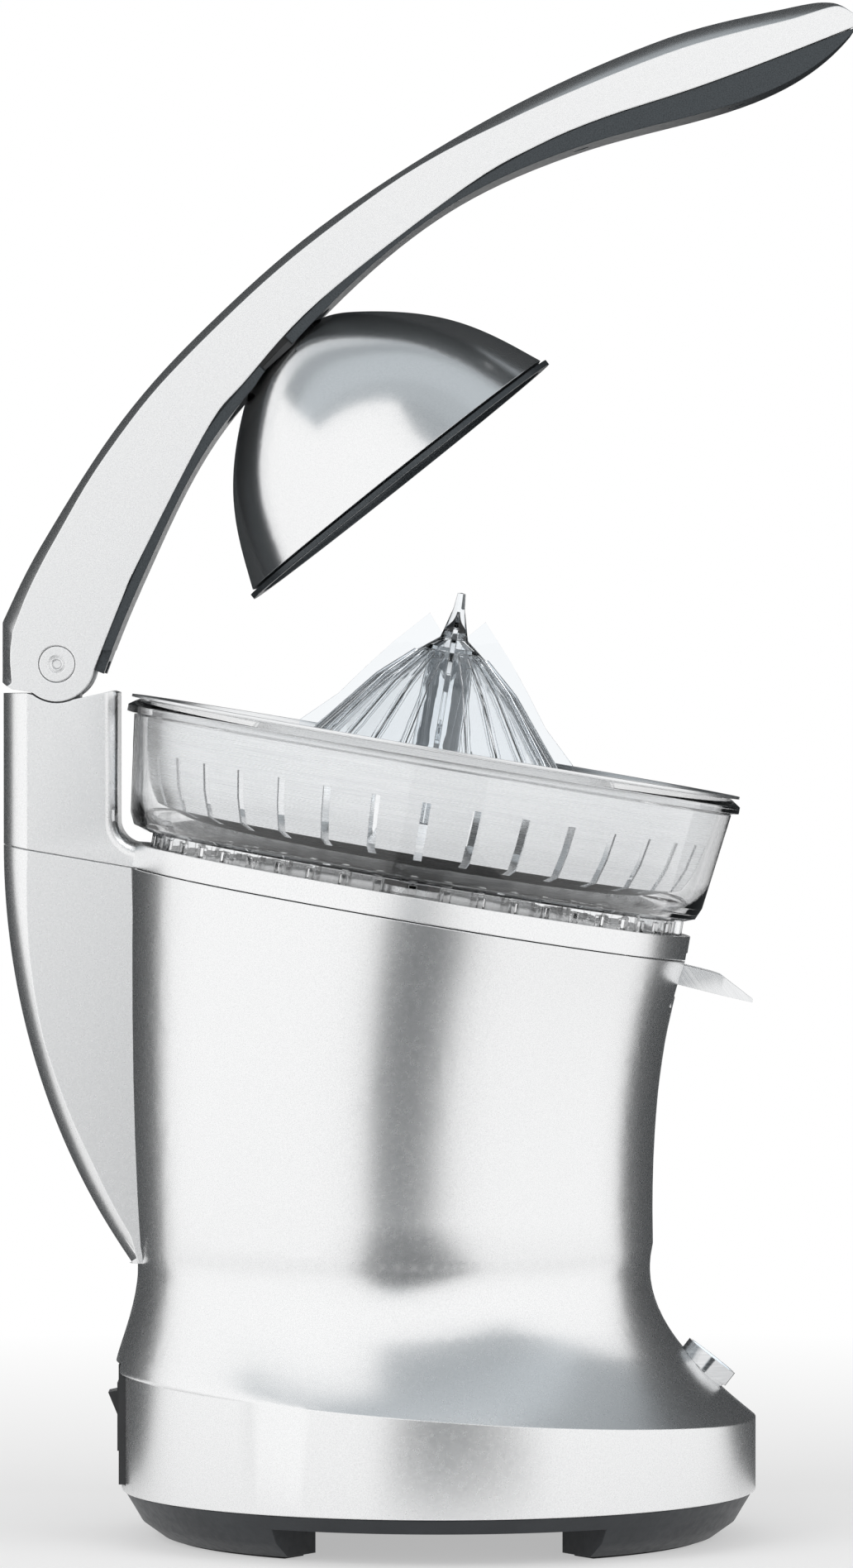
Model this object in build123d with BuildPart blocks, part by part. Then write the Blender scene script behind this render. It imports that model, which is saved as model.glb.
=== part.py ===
"""Lever citrus juice press: a motor-driven reamer in a bowl, with a lever arm that presses the fruit.

Millimetres. +X points to the spout, +Z up, and the part is symmetric about the XZ plane apart from
the gears. The origin lies on the floor, below the middle of the whole part's length. The lever arm
stands in its raised position. The bowl, basket, cone, spindle and motor share one axis, which leans
forward by bowl_tilt.
"""

from build123d import *
from math import acos, asin, cos, hypot, pi, radians, sin, tan
import os

os.makedirs("parts", exist_ok=True)

# ---------------------------------------------------------------------------- driving sizes
# Clearances
seat_gap = 0.3            # between pieces that sit in one another
running_gap = 0.05        # radial, shaft in bore
moving_gap = 0.6          # between pieces that pass each other
seam_gap = 0.4            # shadow line between the two housings

# Base
base_radius = 117.0       # round foot of the housing
base_x = 3.0              # its centre, ahead of the origin
skirt_bottom = 17.5       # lower edge of the metal skirt
ridge_front_z = 44.0      # ridge where the flare meets the upright band, at the front
ridge_rear_z = 61.0       # and at the rear
plate_bottom = 12.0       # underside of the base plate between the feet
plate_thickness = 3.0
leg_inner_radius = 84.0
leg_half_angle = 58.0     # each leg wraps this far to either side of the X axis
leg_slope_z = 6.4         # height at which the leg's outer face turns in
leg_slope_radius = 109.5
leg_toe_radius = 102.0    # outer edge of the leg's underside
pad_thickness = 2.5       # rubber feet
pad_inset = 3.0           # rim of the leg left around its pad
pad_recess = 1.5

# Housing
housing_wall = 3.0
waist_radius = 95.5
waist_x = -13.4
waist_z = 108.0
throat_radius = 97.0      # section between the waist and the seam
throat_x = -14.0
throat_z = 152.0
flare_z = 90.0            # where the flare starts to open
flare_mid_z = 78.0
flare_mid_growth = 4.0    # radius gained by flare_mid_z

# Bowl axis
bowl_tilt = 9.65          # degrees, leaning forward
bowl_x = 1.8              # centre of the bowl's rim
bowl_z = 290.0

# Collar and deck, heights along the bowl axis below the bowl's rim
collar_radius = 104.3
seam_drop = 61.5          # seam between lower and upper housing
collar_drop = 52.5        # top edge of the collar
deck_drop = 54.5          # recessed deck that carries the bowl
deck_thickness = 2.5
deck_rim = 3.0            # width of the collar's top edge
spindle_boss_drop = 52.0  # raised boss round the spindle

# Column and spine
spine_width = 44.0        # of the column, the fin below it and the lever arm
column_rear_x = -157.5
column_front_x = -114.7
column_top_z = 311.2
fin_radius = 274.0        # sweep of the fin's rear edge
fin_end_z = 101.5
spine_edge_radius = 6.0   # rounded rear edges
column_edge_radius = 5.0  # rounded front edges

# Hinge
hinge_x = -136.9
hinge_z = 321.2
hinge_boss_radius = 13.7
hinge_pin_radius = 4.0
cap_radius = 6.6
cap_thickness = 2.0
cap_socket_radius = 1.7
knuckle_width = 18.0
knuckle_radius = 11.5
bracket_bottom = 268.0    # block of the hinge bracket inside the column
bracket_height = 16.0
shelf_thickness = 4.0     # web of the column that carries the bracket
spring_wire_radius = 1.0
spring_coil_radius = 6.0
spring_turns = 2 + 30 / 360
spring_leg = 20.0

# Arm
arm_wall = 3.2
arm_side_wall = 3.5
facet_depth = 4.5         # how far the facet along the arm's back reaches across the side
cover_edge = 0.8          # the covers are this much narrower than the arm on each side
cover_tongue = 3.0        # how far the covers reach into the arm
arm_back = [              # outer line of the arm, from the hinge, and its facet's width there
    (-20.9, 15.5, 1.2), (-6.7, 43.6, 1.2), (22.9, 89.4, 1.2), (56.1, 126.0, 1.4),
    (100.0, 163.8, 2.0), (161.0, 202.2, 5.6), (222.0, 229.7, 6.4), (267.8, 241.3, 4.4),
    (284.0, 243.4, 2.2),
]
arm_edge = [              # lower edge of the metal, from the hinge, and the cover's depth below it
    (13.53, -2.15, 3.7), (23.8, 23.8, 3.7), (29.9, 37.5, 3.7), (55.1, 86.1, 4.0),
    (68.7, 103.2, 3.9), (96.0, 132.8, 3.8), (148.8, 173.9, 2.9), (176.3, 189.8, 5.7),
    (200.3, 199.9, 7.5), (231.5, 210.0, 9.5), (259.0, 220.1, 10.3), (292.3, 233.0, 0.6),
]
mount_piece = 5           # the arm_edge point at the dome's mount, where the two covers part
grip_screw_reach = (190.0, 246.0)  # of the grip's screws, ahead of the hinge
grip_screw_radius = 1.5
grip_screw_head = 2.8
grip_screw_sink = 2.4
grip_screw_length = 9.0

# Bowl
bowl_rim_radius = 114.4
bowl_rim_height = 5.8
bowl_lip = 2.7            # how far the rim stands out past the wall
bowl_depth = 47.3
bowl_bottom_radius = 106.6
bowl_corner = 5.0
bowl_wall = 2.0
bowl_skirt_radius = 97.6
bowl_skirt_thickness = 3.0
bowl_skirt_ribs = 48
chimney_radius = 13.5     # tube through the bowl's floor, round the drive
chimney_top_drop = 30.0
outlet_radius = 9.0       # outside of the drain neck
outlet_offset = 92.0      # from the bowl axis, towards the front
outlet_end_drop = 58.0
skirt_gap_width = 2.6

# Strainer basket
basket_rim_inset = 0.8    # its rolled rim stays this far inside the bowl's rim
basket_rim_width = 7.8
basket_floor_radius = 88.0
basket_depth = 41.5
basket_sheet = 0.9
basket_slots = 36
slot_width = 3.0
slot_top_drop = 18.5
hump_radius = 15.0
hump_drop = 28.7

# Juicing cone
cone_tip = 58.3           # above the bowl's rim
cone_shell = 2.2
cone_fins = 4
fin_thickness = 1.8
cone_ribs = 24
rib_height = 1.1
cone_foot_radius = 51.5
cone_foot_drop = 10.0
rib_thickness = 1.6
cone_line = [             # outside of the cone: radius, height above the bowl's rim
    (0.0, cone_tip), (1.5, 58.0), (2.2, 52.0), (5.2, 41.0), (13.4, 34.5), (26.2, 23.5),
    (44.8, 1.5), (50.0, -6.0),
    (cone_foot_radius, -cone_foot_drop),
]
cone_rib_start = 4        # first point of the cone's outside that carries ribs
fin_line = [
    (4.0, 42.0), (6.0, 44.0), (10.4, 49.1), (22.0, 36.3), (31.1, 24.7), (38.7, 14.3),
    (51.0, 2.5), (51.5, -8.0),
]
stem_radius = 9.0
stem_end_drop = 47.2
hex_across = 10.0         # drive hexagon
peg_top_drop = 36.0
peg_end_drop = 47.5

# Press dome
dome_x, dome_z = -11.3, 389.2      # centre of the dome's rim
dome_lean = 38.5                   # degrees that its axis leans back from upright
dome_rim_radius = 68.4
dome_height = 66.2
dome_sheet = 2.2
liner_sheet = 1.6
liner_gap = 0.4
dome_pivot_height = 73.0           # pivot pin above the rim, on the dome's axis
dome_swivel = 6.0                  # degrees each way
dome_curve = [                     # outside of the dome: radius, height above the rim
    (67.75, 2.0), (62.5, 14.5), (54.3, 30.0), (43.9, 43.0), (26.1, 58.3),
]
hub_radius = 9.0
hub_lug_half = 6.5
hub_lug_radius = 5.5
mount_radius = 22.0
mount_x, mount_z = -54.3, 432.2    # where the mount's axis meets the covers' underside
mount_lean = 45.8                  # degrees, square to the arm
mount_bottom, mount_shoulder, mount_top = -1.0, 3.5, 20.0  # heights along its axis
dome_pin_radius = 2.0

# Spout
spout_width = 22.0
spout_height = 7.4
spout_sheet = 1.0
spout_slope = 14.0        # degrees, falling forward
spout_reach = 33.5        # from its pivot to the tip
spout_tail = 15.0         # behind its pivot
spout_pivot_x, spout_pivot_z = 85.5, 202.2
spout_floor = 2.5         # underside of the channel above the pivot
spout_lip = 8.0           # width at the tip
spout_pin_radius = 1.5
spout_lug_radius = 2.6
spout_ear_radius = 3.2

# Drive, heights along the bowl axis below the bowl's rim
gear_module = 1.0
output_teeth = 68
inter_pinion_teeth = 18
inter_teeth = 52
motor_pinion_teeth = 12
output_gear_drop = 68.0   # top face of the output gear
gear_thickness = 9.0
case_radius = 77.0
case_wall = 2.5
case_top_drop = 63.5
case_bottom_drop = 97.0
spindle_radius = 5.0
press_travel = 2.0
hub_bore = 8.0            # drive hexagon inside the output gear
carrier_radius = 12.0
carrier_drop = 84.0
carrier_thickness = 4.0
press_coil_radius = 9.0
press_wire_radius = 0.6
bush_radius = 8.0
motor_radius = 36.0
motor_length = 72.0
motor_drop = 97.3
rotor_radius = 17.0
motor_shaft_radius = 3.0
inter_angle = 120.0       # where the intermediate gear stands, seen from above
motor_angle = -96.3       # direction from the intermediate gear to the motor

# Controls
button_radius = 8.0
bezel_radius = 10.6
bezel_height = 2.5
button_travel = 1.5
button_down_flare = 0.443  # its place on the flare's front, from flare_mid_z (0) to the ridge (1)
button_rise = 1.35         # of the flare above the straight line between those two
button_slope = 52.0        # degrees of its axis above level, so the disc's lower edge stands proud
panel_width = 44.0
panel_top, panel_bottom = 64.5, 20.5
panel_proud = 0.4         # its outer face stands this far behind the foot's edge
panel_thickness = 2.5
rocker_z = 44.2
rocker_height = 20.0
rocker_width = 13.0
rocker_swing = 12.0       # degrees to either side of level
rocker_depth = 12.0
cord_radius = 3.4
cord_bush_radius = 4.9
cord_z = 26.0
board_z = 31.0
board_length, board_width = 76.0, 70.0
panel_depth = 12.0
panel_rim = 2.0

# ---------------------------------------------------------------------------- frames and helpers
half_width = spine_width / 2
hinge = Vector(hinge_x, 0, hinge_z)

lean_forward = Vector(sin(radians(bowl_tilt)), 0, cos(radians(bowl_tilt)))
bowl_across = Vector(cos(radians(bowl_tilt)), 0, -sin(radians(bowl_tilt)))
bowl_origin = Vector(bowl_x, 0, bowl_z)
bowl_plane = Plane(origin=bowl_origin, x_dir=bowl_across, z_dir=lean_forward)
bowl_section = Plane(origin=bowl_origin, x_dir=bowl_across, z_dir=(0, -1, 0))
bowl_axis = Axis(bowl_origin, lean_forward)

dome_up = Vector(-sin(radians(dome_lean)), 0, cos(radians(dome_lean)))
dome_across = Vector(cos(radians(dome_lean)), 0, sin(radians(dome_lean)))
dome_origin = Vector(dome_x, 0, dome_z)
dome_plane = Plane(origin=dome_origin, x_dir=dome_across, z_dir=dome_up)
dome_section = Plane(origin=dome_origin, x_dir=dome_across, z_dir=(0, -1, 0))
dome_axis = Axis(dome_origin, dome_up)
dome_pivot = dome_origin + dome_up * dome_pivot_height

mount_up = Vector(-sin(radians(mount_lean)), 0, cos(radians(mount_lean)))
mount_plane = Plane(
    origin=(mount_x, 0, mount_z),
    x_dir=(cos(radians(mount_lean)), 0, sin(radians(mount_lean))),
    z_dir=mount_up,
)

spout_plane = Plane(
    origin=(spout_pivot_x, 0, spout_pivot_z),
    x_dir=(cos(radians(spout_slope)), 0, -sin(radians(spout_slope))),
    z_dir=(0, -1, 0),
)

button_out = Vector(cos(radians(button_slope)), 0, sin(radians(button_slope)))
flare_mid_x = waist_x + 1.0
flare_mid_front = Vector(flare_mid_x + waist_radius + flare_mid_growth, 0, flare_mid_z)
flare_front_line = Vector(base_x + base_radius, 0, ridge_front_z) - flare_mid_front
button_centre = flare_mid_front + flare_front_line * button_down_flare + button_out * button_rise
button_plane = Plane(origin=button_centre, x_dir=(0, 1, 0), z_dir=button_out)

panel_x = base_x - base_radius - panel_proud
basket_rim_radius = bowl_rim_radius - basket_rim_inset
basket_top_radius = basket_rim_radius - basket_rim_width


def on_bowl_axis(across, drop, sideways=0.0):
    """Point at a distance across the bowl axis, and at a drop below the bowl's rim."""
    return bowl_origin + bowl_across * across - lean_forward * drop + Vector(0, sideways, 0)


def round_section(rear, front):
    """Plane and radius of the round section between a rearmost and a foremost point."""
    along = Vector(front[0] - rear[0], 0, front[1] - rear[1])
    middle = ((rear[0] + front[0]) / 2, 0, (rear[1] + front[1]) / 2)
    plane = Plane(origin=middle, x_dir=along.normalized(), z_dir=along.cross(Vector(0, 1, 0)))
    return plane, along.length / 2


def level_section(center_x, z, radius):
    return round_section((center_x - radius, z), (center_x + radius, z))


def moved_aside(points, distances):
    """The points of an open line, each moved to the right of the way the line runs."""
    moved = []
    for i, (x, z) in enumerate(points):
        before = points[max(i - 1, 0)]
        after = points[min(i + 1, len(points) - 1)]
        run_x, run_z = after[0] - before[0], after[1] - before[1]
        length = hypot(run_x, run_z)
        moved.append((x + run_z / length * distances[i], z - run_x / length * distances[i]))
    return moved


def at_hinge(points):
    """Points given from the hinge, as points of the part."""
    return [(hinge_x + x, hinge_z + z) for x, z in points]


def gear_outline(teeth, first_tooth_angle):
    """Corner points of a spur gear with involute flanks, with a tooth at the given angle."""
    pitch_radius = gear_module * teeth / 2
    base = pitch_radius * cos(radians(20))
    root = pitch_radius - 1.15 * gear_module
    tip = pitch_radius + 0.8 * gear_module
    backlash = 0.07 * gear_module

    def half_tooth(radius):
        """Half the tooth's angle at a radius, in radians."""
        pressure = acos(min(base / radius, 1.0))
        involute = tan(pressure) - pressure
        pitch_involute = tan(radians(20)) - radians(20)
        return pi / (2 * teeth) - backlash / pitch_radius + pitch_involute - involute

    radii = [root, max(base, root + 0.01), pitch_radius, (pitch_radius + tip) / 2, tip]
    points = []
    for tooth in range(teeth):
        middle = radians(first_tooth_angle) + 2 * pi * tooth / teeth
        rising = [(r, middle - half_tooth(r)) for r in radii]
        falling = [(r, middle + half_tooth(r)) for r in reversed(radii)]
        points += [(r * cos(a), r * sin(a)) for r, a in rising + falling]
    return points


# ---------------------------------------------------------------------------- housing blanks
seam_plane = bowl_plane.offset(-seam_drop)
seam_rear_z = (seam_plane.origin.Z + (seam_plane.origin.X - column_rear_x) * tan(radians(bowl_tilt)))
ridge_rear = (base_x - base_radius, ridge_rear_z)
ridge_front = (base_x + base_radius, ridge_front_z)


def body_sections(inset, flare_inset):
    """Round sections of the housing from the seam down to the ridge, drawn inside the metal."""
    ridge_plane, ridge_radius = round_section(ridge_rear, ridge_front)
    return [
        (seam_plane, collar_radius - inset),
        (level_section(throat_x, throat_z, throat_radius)[0], throat_radius - inset),
        (level_section(waist_x, waist_z, waist_radius)[0], waist_radius - inset),
        (level_section(waist_x, flare_z, waist_radius)[0], waist_radius - inset),
        (
            level_section(flare_mid_x, flare_mid_z, waist_radius)[0],
            waist_radius + flare_mid_growth - (inset + flare_inset) / 2,
        ),
        (ridge_plane.offset(-inset), ridge_radius - flare_inset),
    ]


def spine_profile(inset, foot):
    """Side outline of the column and of the fin below it, drawn `inset` inside the metal.

    With a foot, the outline spreads into the collar at the column's front.
    """
    rear = column_rear_x + inset
    front = column_front_x - inset
    fin_drop = seam_rear_z - fin_end_z
    fin_sweep = asin(fin_drop / fin_radius)
    inner = fin_radius - inset
    fin_middle = (
        column_rear_x + fin_radius - inner * cos(fin_sweep / 2),
        seam_rear_z - inner * sin(fin_sweep / 2),
    )
    fin_end = (
        column_rear_x + fin_radius - inner * cos(fin_sweep),
        seam_rear_z - inner * sin(fin_sweep),
    )
    bay = waist_x - waist_radius + 12.0
    under_deck = on_bowl_axis(-collar_radius + housing_wall + 1.0, collar_drop + 1.0)
    foot_start = on_bowl_axis(-collar_radius + 1.5, collar_drop)
    ThreePointArc((rear, seam_rear_z), fin_middle, fin_end)
    lower = Line(fin_end, (bay, fin_end[1]))
    if foot:
        into_body = Line(lower @ 1, (bay, under_deck.Z - 20))
        Line(into_body @ 1, (under_deck.X, under_deck.Z))
        Line((under_deck.X, under_deck.Z), (foot_start.X, foot_start.Z))
        ThreePointArc(
            (foot_start.X, foot_start.Z),
            (front + 1.6, foot_start.Z + 3.4),
            (front, foot_start.Z + 9.0),
        )
        top = column_profile_top((front, foot_start.Z + 9.0), rear)
    else:
        Line(lower @ 1, (bay, under_deck.Z - 24))
        Line((bay, under_deck.Z - 24), (front, under_deck.Z - 14))
        Line((front, under_deck.Z - 14), (front, column_top_z + 30))
        top = Line((front, column_top_z + 30), (rear, column_top_z + 30))
    Line(top @ 1, (rear, seam_rear_z))


def column_profile_top(front_start, rear):
    """Front face and top of the column, with the round recess under the arm's boss."""
    recess = hinge_boss_radius + moving_gap
    recess_right = (hinge_x + recess * sin(radians(25)), hinge_z - recess * cos(radians(25)))
    recess_left = (hinge_x - recess * sin(radians(38)), hinge_z - recess * cos(radians(38)))
    front_top = (column_front_x, column_top_z - 0.4)
    Line(front_start, front_top)
    Line(front_top, (column_front_x - 2.0, column_top_z + 0.2))
    Line((column_front_x - 2.0, column_top_z + 0.2), recess_right)
    ThreePointArc(recess_right, (hinge_x, hinge_z - recess), recess_left)
    shoulder = (hinge_x - 13.0, column_top_z - 0.2)
    Line(recess_left, shoulder)
    return Line(shoulder, (rear, column_top_z - 0.6))


with BuildPart() as spine_blank:
    with BuildSketch(Plane.XZ):
        with BuildLine():
            spine_profile(0, True)
        make_face()
    extrude(amount=half_width, both=True)
    rear_edges = spine_blank.edges().filter_by(
        lambda e: abs(abs(e.center().Y) - half_width) < 0.01
        and e.center().X < column_rear_x + 22
        and e.length > 40
    )
    fillet(rear_edges, spine_edge_radius)
    front_edges = spine_blank.edges().filter_by(
        lambda e: abs(abs(e.center().Y) - half_width) < 0.01
        and abs(e.center().X - column_front_x) < 0.2
        and e.length > 20
    )
    fillet(front_edges, column_edge_radius)

with BuildPart() as spine_bay:
    with BuildSketch(Plane.XZ):
        with BuildLine():
            spine_profile(housing_wall, False)
        make_face()
    extrude(amount=half_width - housing_wall, both=True)

# Where the spout leaves the housing
spout_door_half = spout_width / 2 + 2.0
spout_door_low = spout_pivot_z - 3.7
spout_door_high = seam_plane.origin.Z - collar_radius * sin(radians(bowl_tilt)) + 3.0

# Screws: base plate to lower housing, at these angles round the base's centre
base_screw_angles = (68, 112, 248, 292)
base_screw_circle = base_radius - housing_wall - 10.0
base_boss_height = 20.0

# Screws that join the two housings, at these angles round the bowl axis
housing_screw_angles = (35, 145, 215, 325)
housing_screw_circle = collar_radius - housing_wall - 4.4
screw_radius = 2.0
screw_head_radius = 3.8
boss_radius = 5.0

# ---------------------------------------------------------------------------- lower housing
panel_opening_width = panel_width + 2 * seat_gap
panel_opening_height = panel_top - panel_bottom + 2 * seat_gap
panel_middle = (panel_top + panel_bottom) / 2
bezel_barrel = bezel_radius - 1.0
bezel_seat = -3.3         # spot face in the flare, below the button's centre
housing_boss_end = seam_drop + 12.0
ear_start = spout_width / 2 + seat_gap
ear_end = spout_door_half + 4.0

with BuildPart() as button_boss:
    for section_plane, section_radius in body_sections(0.8, 1.2)[2:]:
        with BuildSketch(section_plane):
            Circle(section_radius)
    loft()
    with BuildSketch(button_plane.offset(bezel_seat - 2.5)):
        Circle(bezel_radius + seat_gap + 2.0)
    extrude(amount=16, mode=Mode.INTERSECT)

with BuildPart() as lower_housing:
    for section_plane, section_radius in body_sections(0, 0)[:3]:
        with BuildSketch(section_plane):
            Circle(section_radius)
    loft()
    for section_plane, section_radius in body_sections(0, 0)[2:]:
        with BuildSketch(section_plane):
            Circle(section_radius)
    loft()
    with BuildSketch(Plane((base_x, 0, skirt_bottom), x_dir=(1, 0, 0))):
        Circle(base_radius)
    with BuildSketch(round_section(ridge_rear, ridge_front)[0]):
        Circle(round_section(ridge_rear, ridge_front)[1])
    loft(ruled=True)
    add(spine_blank.part)
    split(bisect_by=seam_plane, keep=Keep.BOTTOM)
    # the hollow follows the outside, one wall further in
    for section_plane, section_radius in body_sections(housing_wall, housing_wall * 1.5)[:3]:
        with BuildSketch(section_plane):
            Circle(section_radius)
    loft(mode=Mode.SUBTRACT)
    for section_plane, section_radius in body_sections(housing_wall, housing_wall * 1.5)[2:]:
        with BuildSketch(section_plane):
            Circle(section_radius)
    loft(mode=Mode.SUBTRACT)
    with BuildSketch(Plane((base_x, 0, skirt_bottom), x_dir=(1, 0, 0))):
        Circle(base_radius - housing_wall)
    with BuildSketch(body_sections(housing_wall, housing_wall * 1.5)[5][0]):
        Circle(body_sections(housing_wall, housing_wall * 1.5)[5][1])
    loft(ruled=True, mode=Mode.SUBTRACT)
    add(spine_bay.part, mode=Mode.SUBTRACT)
    # bosses for the screws from the base plate, each on a web from the wall
    with BuildSketch(Plane((base_x, 0, skirt_bottom), x_dir=(1, 0, 0))):
        for angle in base_screw_angles:
            with PolarLocations(base_screw_circle, 1, start_angle=angle):
                Circle(boss_radius)
            with PolarLocations(base_screw_circle + 6.0, 1, start_angle=angle):
                Rectangle(10, 3)
        for angle in base_screw_angles:
            with PolarLocations(base_screw_circle, 1, start_angle=angle):
                Circle(screw_radius, mode=Mode.SUBTRACT)
    extrude(amount=base_boss_height)
    # bosses for the screws from the upper housing
    with BuildSketch(bowl_plane.offset(-housing_boss_end)):
        for angle in housing_screw_angles:
            with PolarLocations(housing_screw_circle, 1, start_angle=angle):
                Circle(boss_radius)
                Circle(screw_radius, mode=Mode.SUBTRACT)
    extrude(amount=housing_boss_end - seam_drop)
    # window for the rear panel
    with BuildSketch(Plane.YZ.offset(panel_x - 10)):
        with Locations((0, panel_middle)):
            Rectangle(panel_opening_width, panel_opening_height)
    extrude(amount=24, mode=Mode.SUBTRACT)
    # door for the spout
    with BuildSketch(Plane.YZ.offset(spout_pivot_x - 10)):
        with Locations((0, (spout_door_low + spout_door_high) / 2)):
            Rectangle(2 * spout_door_half, spout_door_high - spout_door_low)
    extrude(amount=30, mode=Mode.SUBTRACT)
    # seat for the power button's bezel, sunk into a boss behind the flare
    add(button_boss.part)
    with BuildSketch(button_plane.offset(bezel_seat)):
        Circle(bezel_radius + seat_gap)
    extrude(amount=12, mode=Mode.SUBTRACT)
    with BuildSketch(button_plane.offset(-12)):
        Circle(bezel_barrel + seat_gap)
    extrude(amount=24, mode=Mode.SUBTRACT)
    # ears for the spout's pin, one on each side of the door
    with BuildSketch(Plane.XZ.offset(ear_start), Plane.XZ.offset(-ear_end)):
        with Locations((spout_pivot_x, spout_pivot_z)):
            Circle(spout_ear_radius)
            with Locations((-0.2, -3.5)):
                Rectangle(6.0, 7.0)
    extrude(amount=ear_end - ear_start)
    with BuildSketch(Plane.XZ):
        with Locations((spout_pivot_x, spout_pivot_z)):
            Circle(spout_pin_radius + running_gap)
    extrude(amount=ear_end + 1.0, both=True, mode=Mode.SUBTRACT)

lower_housing.part.label = "lower_housing"
export_step(lower_housing.part, "parts/lower_housing.step")

# ---------------------------------------------------------------------------- upper housing
collar_inner = collar_radius - deck_rim
deck_bottom_drop = deck_drop + deck_thickness
spindle_boss_radius = bush_radius + 3.0
spindle_boss_end = deck_bottom_drop + 4.0
case_post_circle = case_radius - 11.0
case_post_angles = (60, 180, 300)
case_post_radius = 5.0
upper_start_drop = seam_drop - seam_gap


def drum(top_drop, bottom_drop, radius, bore=0.0, at=(0, 0), mode=Mode.ADD):
    """Round piece on an axis parallel to the bowl's, between two drops below the bowl's rim."""
    with BuildSketch(bowl_plane.offset(-bottom_drop)) as level:
        with Locations(at):
            Circle(radius)
            if bore:
                Circle(bore, mode=Mode.SUBTRACT)
    extrude(level.sketch, amount=bottom_drop - top_drop, mode=mode)


def round_bowl(radius, angle):
    """Point of the bowl's plane at a radius and an angle from the front."""
    return (radius * cos(radians(angle)), radius * sin(radians(angle)))


with BuildPart() as column:
    add(spine_blank.part)
    split(bisect_by=bowl_plane.offset(-upper_start_drop), keep=Keep.TOP)

with BuildPart() as upper_housing:
    with BuildSketch(bowl_section):
        with BuildLine():
            Polyline(
                (bush_radius + running_gap, -spindle_boss_drop),
                (spindle_boss_radius, -spindle_boss_drop),
                (spindle_boss_radius, -deck_drop),
                (collar_inner, -deck_drop),
                (collar_inner, -collar_drop),
                (collar_radius, -collar_drop),
                (collar_radius, -upper_start_drop),
                (collar_radius - housing_wall, -upper_start_drop),
                (collar_radius - housing_wall, -deck_bottom_drop),
                (spindle_boss_radius, -deck_bottom_drop),
                (spindle_boss_radius, -spindle_boss_end),
                (bush_radius + running_gap, -spindle_boss_end),
                close=True,
            )
        make_face()
    revolve(axis=bowl_axis)
    add(column.part)
    add(spine_bay.part, mode=Mode.SUBTRACT)
    drum(deck_drop, deck_bottom_drop, spindle_boss_radius, bush_radius + running_gap)
    # web across the column, which carries the hinge bracket
    with BuildSketch(Plane.XY.offset(bracket_bottom - seat_gap)):
        with Locations(((column_rear_x + column_front_x) / 2, 0)):
            Rectangle(column_front_x - column_rear_x - 2, spine_width - 2)
    extrude(amount=-shelf_thickness)
    for angle in housing_screw_angles:
        screw_place = round_bowl(housing_screw_circle, angle)
        drum(deck_bottom_drop, upper_start_drop, boss_radius, at=screw_place)
        screw_hole = screw_radius + running_gap
        drum(deck_drop - 1, upper_start_drop, screw_hole, at=screw_place, mode=Mode.SUBTRACT)
        drum(deck_drop - 1, deck_drop + 2.2, screw_head_radius + 0.2, at=screw_place, mode=Mode.SUBTRACT)
    for angle in case_post_angles:
        post_place = round_bowl(case_post_circle, angle)
        drum(deck_bottom_drop, case_top_drop - seat_gap, case_post_radius, at=post_place)
        drum(deck_bottom_drop + 1, case_top_drop, screw_radius, at=post_place, mode=Mode.SUBTRACT)
    # hole for the bowl's drain neck
    neck_place = (outlet_offset, 0)
    drum(deck_drop - 1, deck_bottom_drop + 1, outlet_radius + 0.8, at=neck_place, mode=Mode.SUBTRACT)
    # holes for the bracket's screws
    with BuildSketch(Plane.XY.offset(bracket_bottom)):
        with Locations((hinge_x - 11, 0), (hinge_x + 9, 0)):
            Circle(screw_radius + 0.1)
    extrude(amount=-8, mode=Mode.SUBTRACT)
    with BuildSketch(Plane.YZ.offset(spout_pivot_x - 10)):
        with Locations((0, (spout_door_low + spout_door_high) / 2)):
            Rectangle(2 * spout_door_half, spout_door_high - spout_door_low)
    extrude(amount=30, mode=Mode.SUBTRACT)

upper_housing.part.label = "upper_housing"
export_step(upper_housing.part, "parts/upper_housing.step")

# ---------------------------------------------------------------------------- base
leg_bottom = pad_thickness - pad_recess
plate_top = skirt_bottom - seat_gap
rim_inner = base_screw_circle - 7.0
base_axis = Axis((base_x, 0, 0), (0, 0, 1))
base_section = Plane(origin=(base_x, 0, 0), x_dir=(1, 0, 0), z_dir=(0, -1, 0))
rim_radius = base_radius - 1.0
pad_inner = leg_inner_radius + pad_inset
pad_outer = leg_toe_radius - pad_inset
pad_half_angle = leg_half_angle - 2.0
board_posts = [(-20, -30), (-20, 30), (40, -30), (40, 30)]
board_post_radius = 3.0


def crescent(inner, outer, half_angle):
    """Face of one crescent of the feet, from its inner to its outer radius, facing forward."""
    with BuildSketch(Plane.XY) as face:
        with BuildLine():
            inner_arc = CenterArc((0, 0), inner, -half_angle, 2 * half_angle)
            outer_arc = CenterArc((0, 0), outer, -half_angle, 2 * half_angle)
            Line(inner_arc @ 0, outer_arc @ 0)
            Line(inner_arc @ 1, outer_arc @ 1)
        make_face()
    return face.sketch


def crescents(z, inner, outer, half_angle, height, mode):
    """Both crescents at a height."""
    with BuildSketch(Plane((base_x, 0, z), x_dir=(1, 0, 0))) as pair:
        add(crescent(inner, outer, half_angle))
        add(crescent(inner, outer, half_angle).rotate(Axis.Z, 180))
    extrude(pair.sketch, amount=height, mode=mode)


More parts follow.
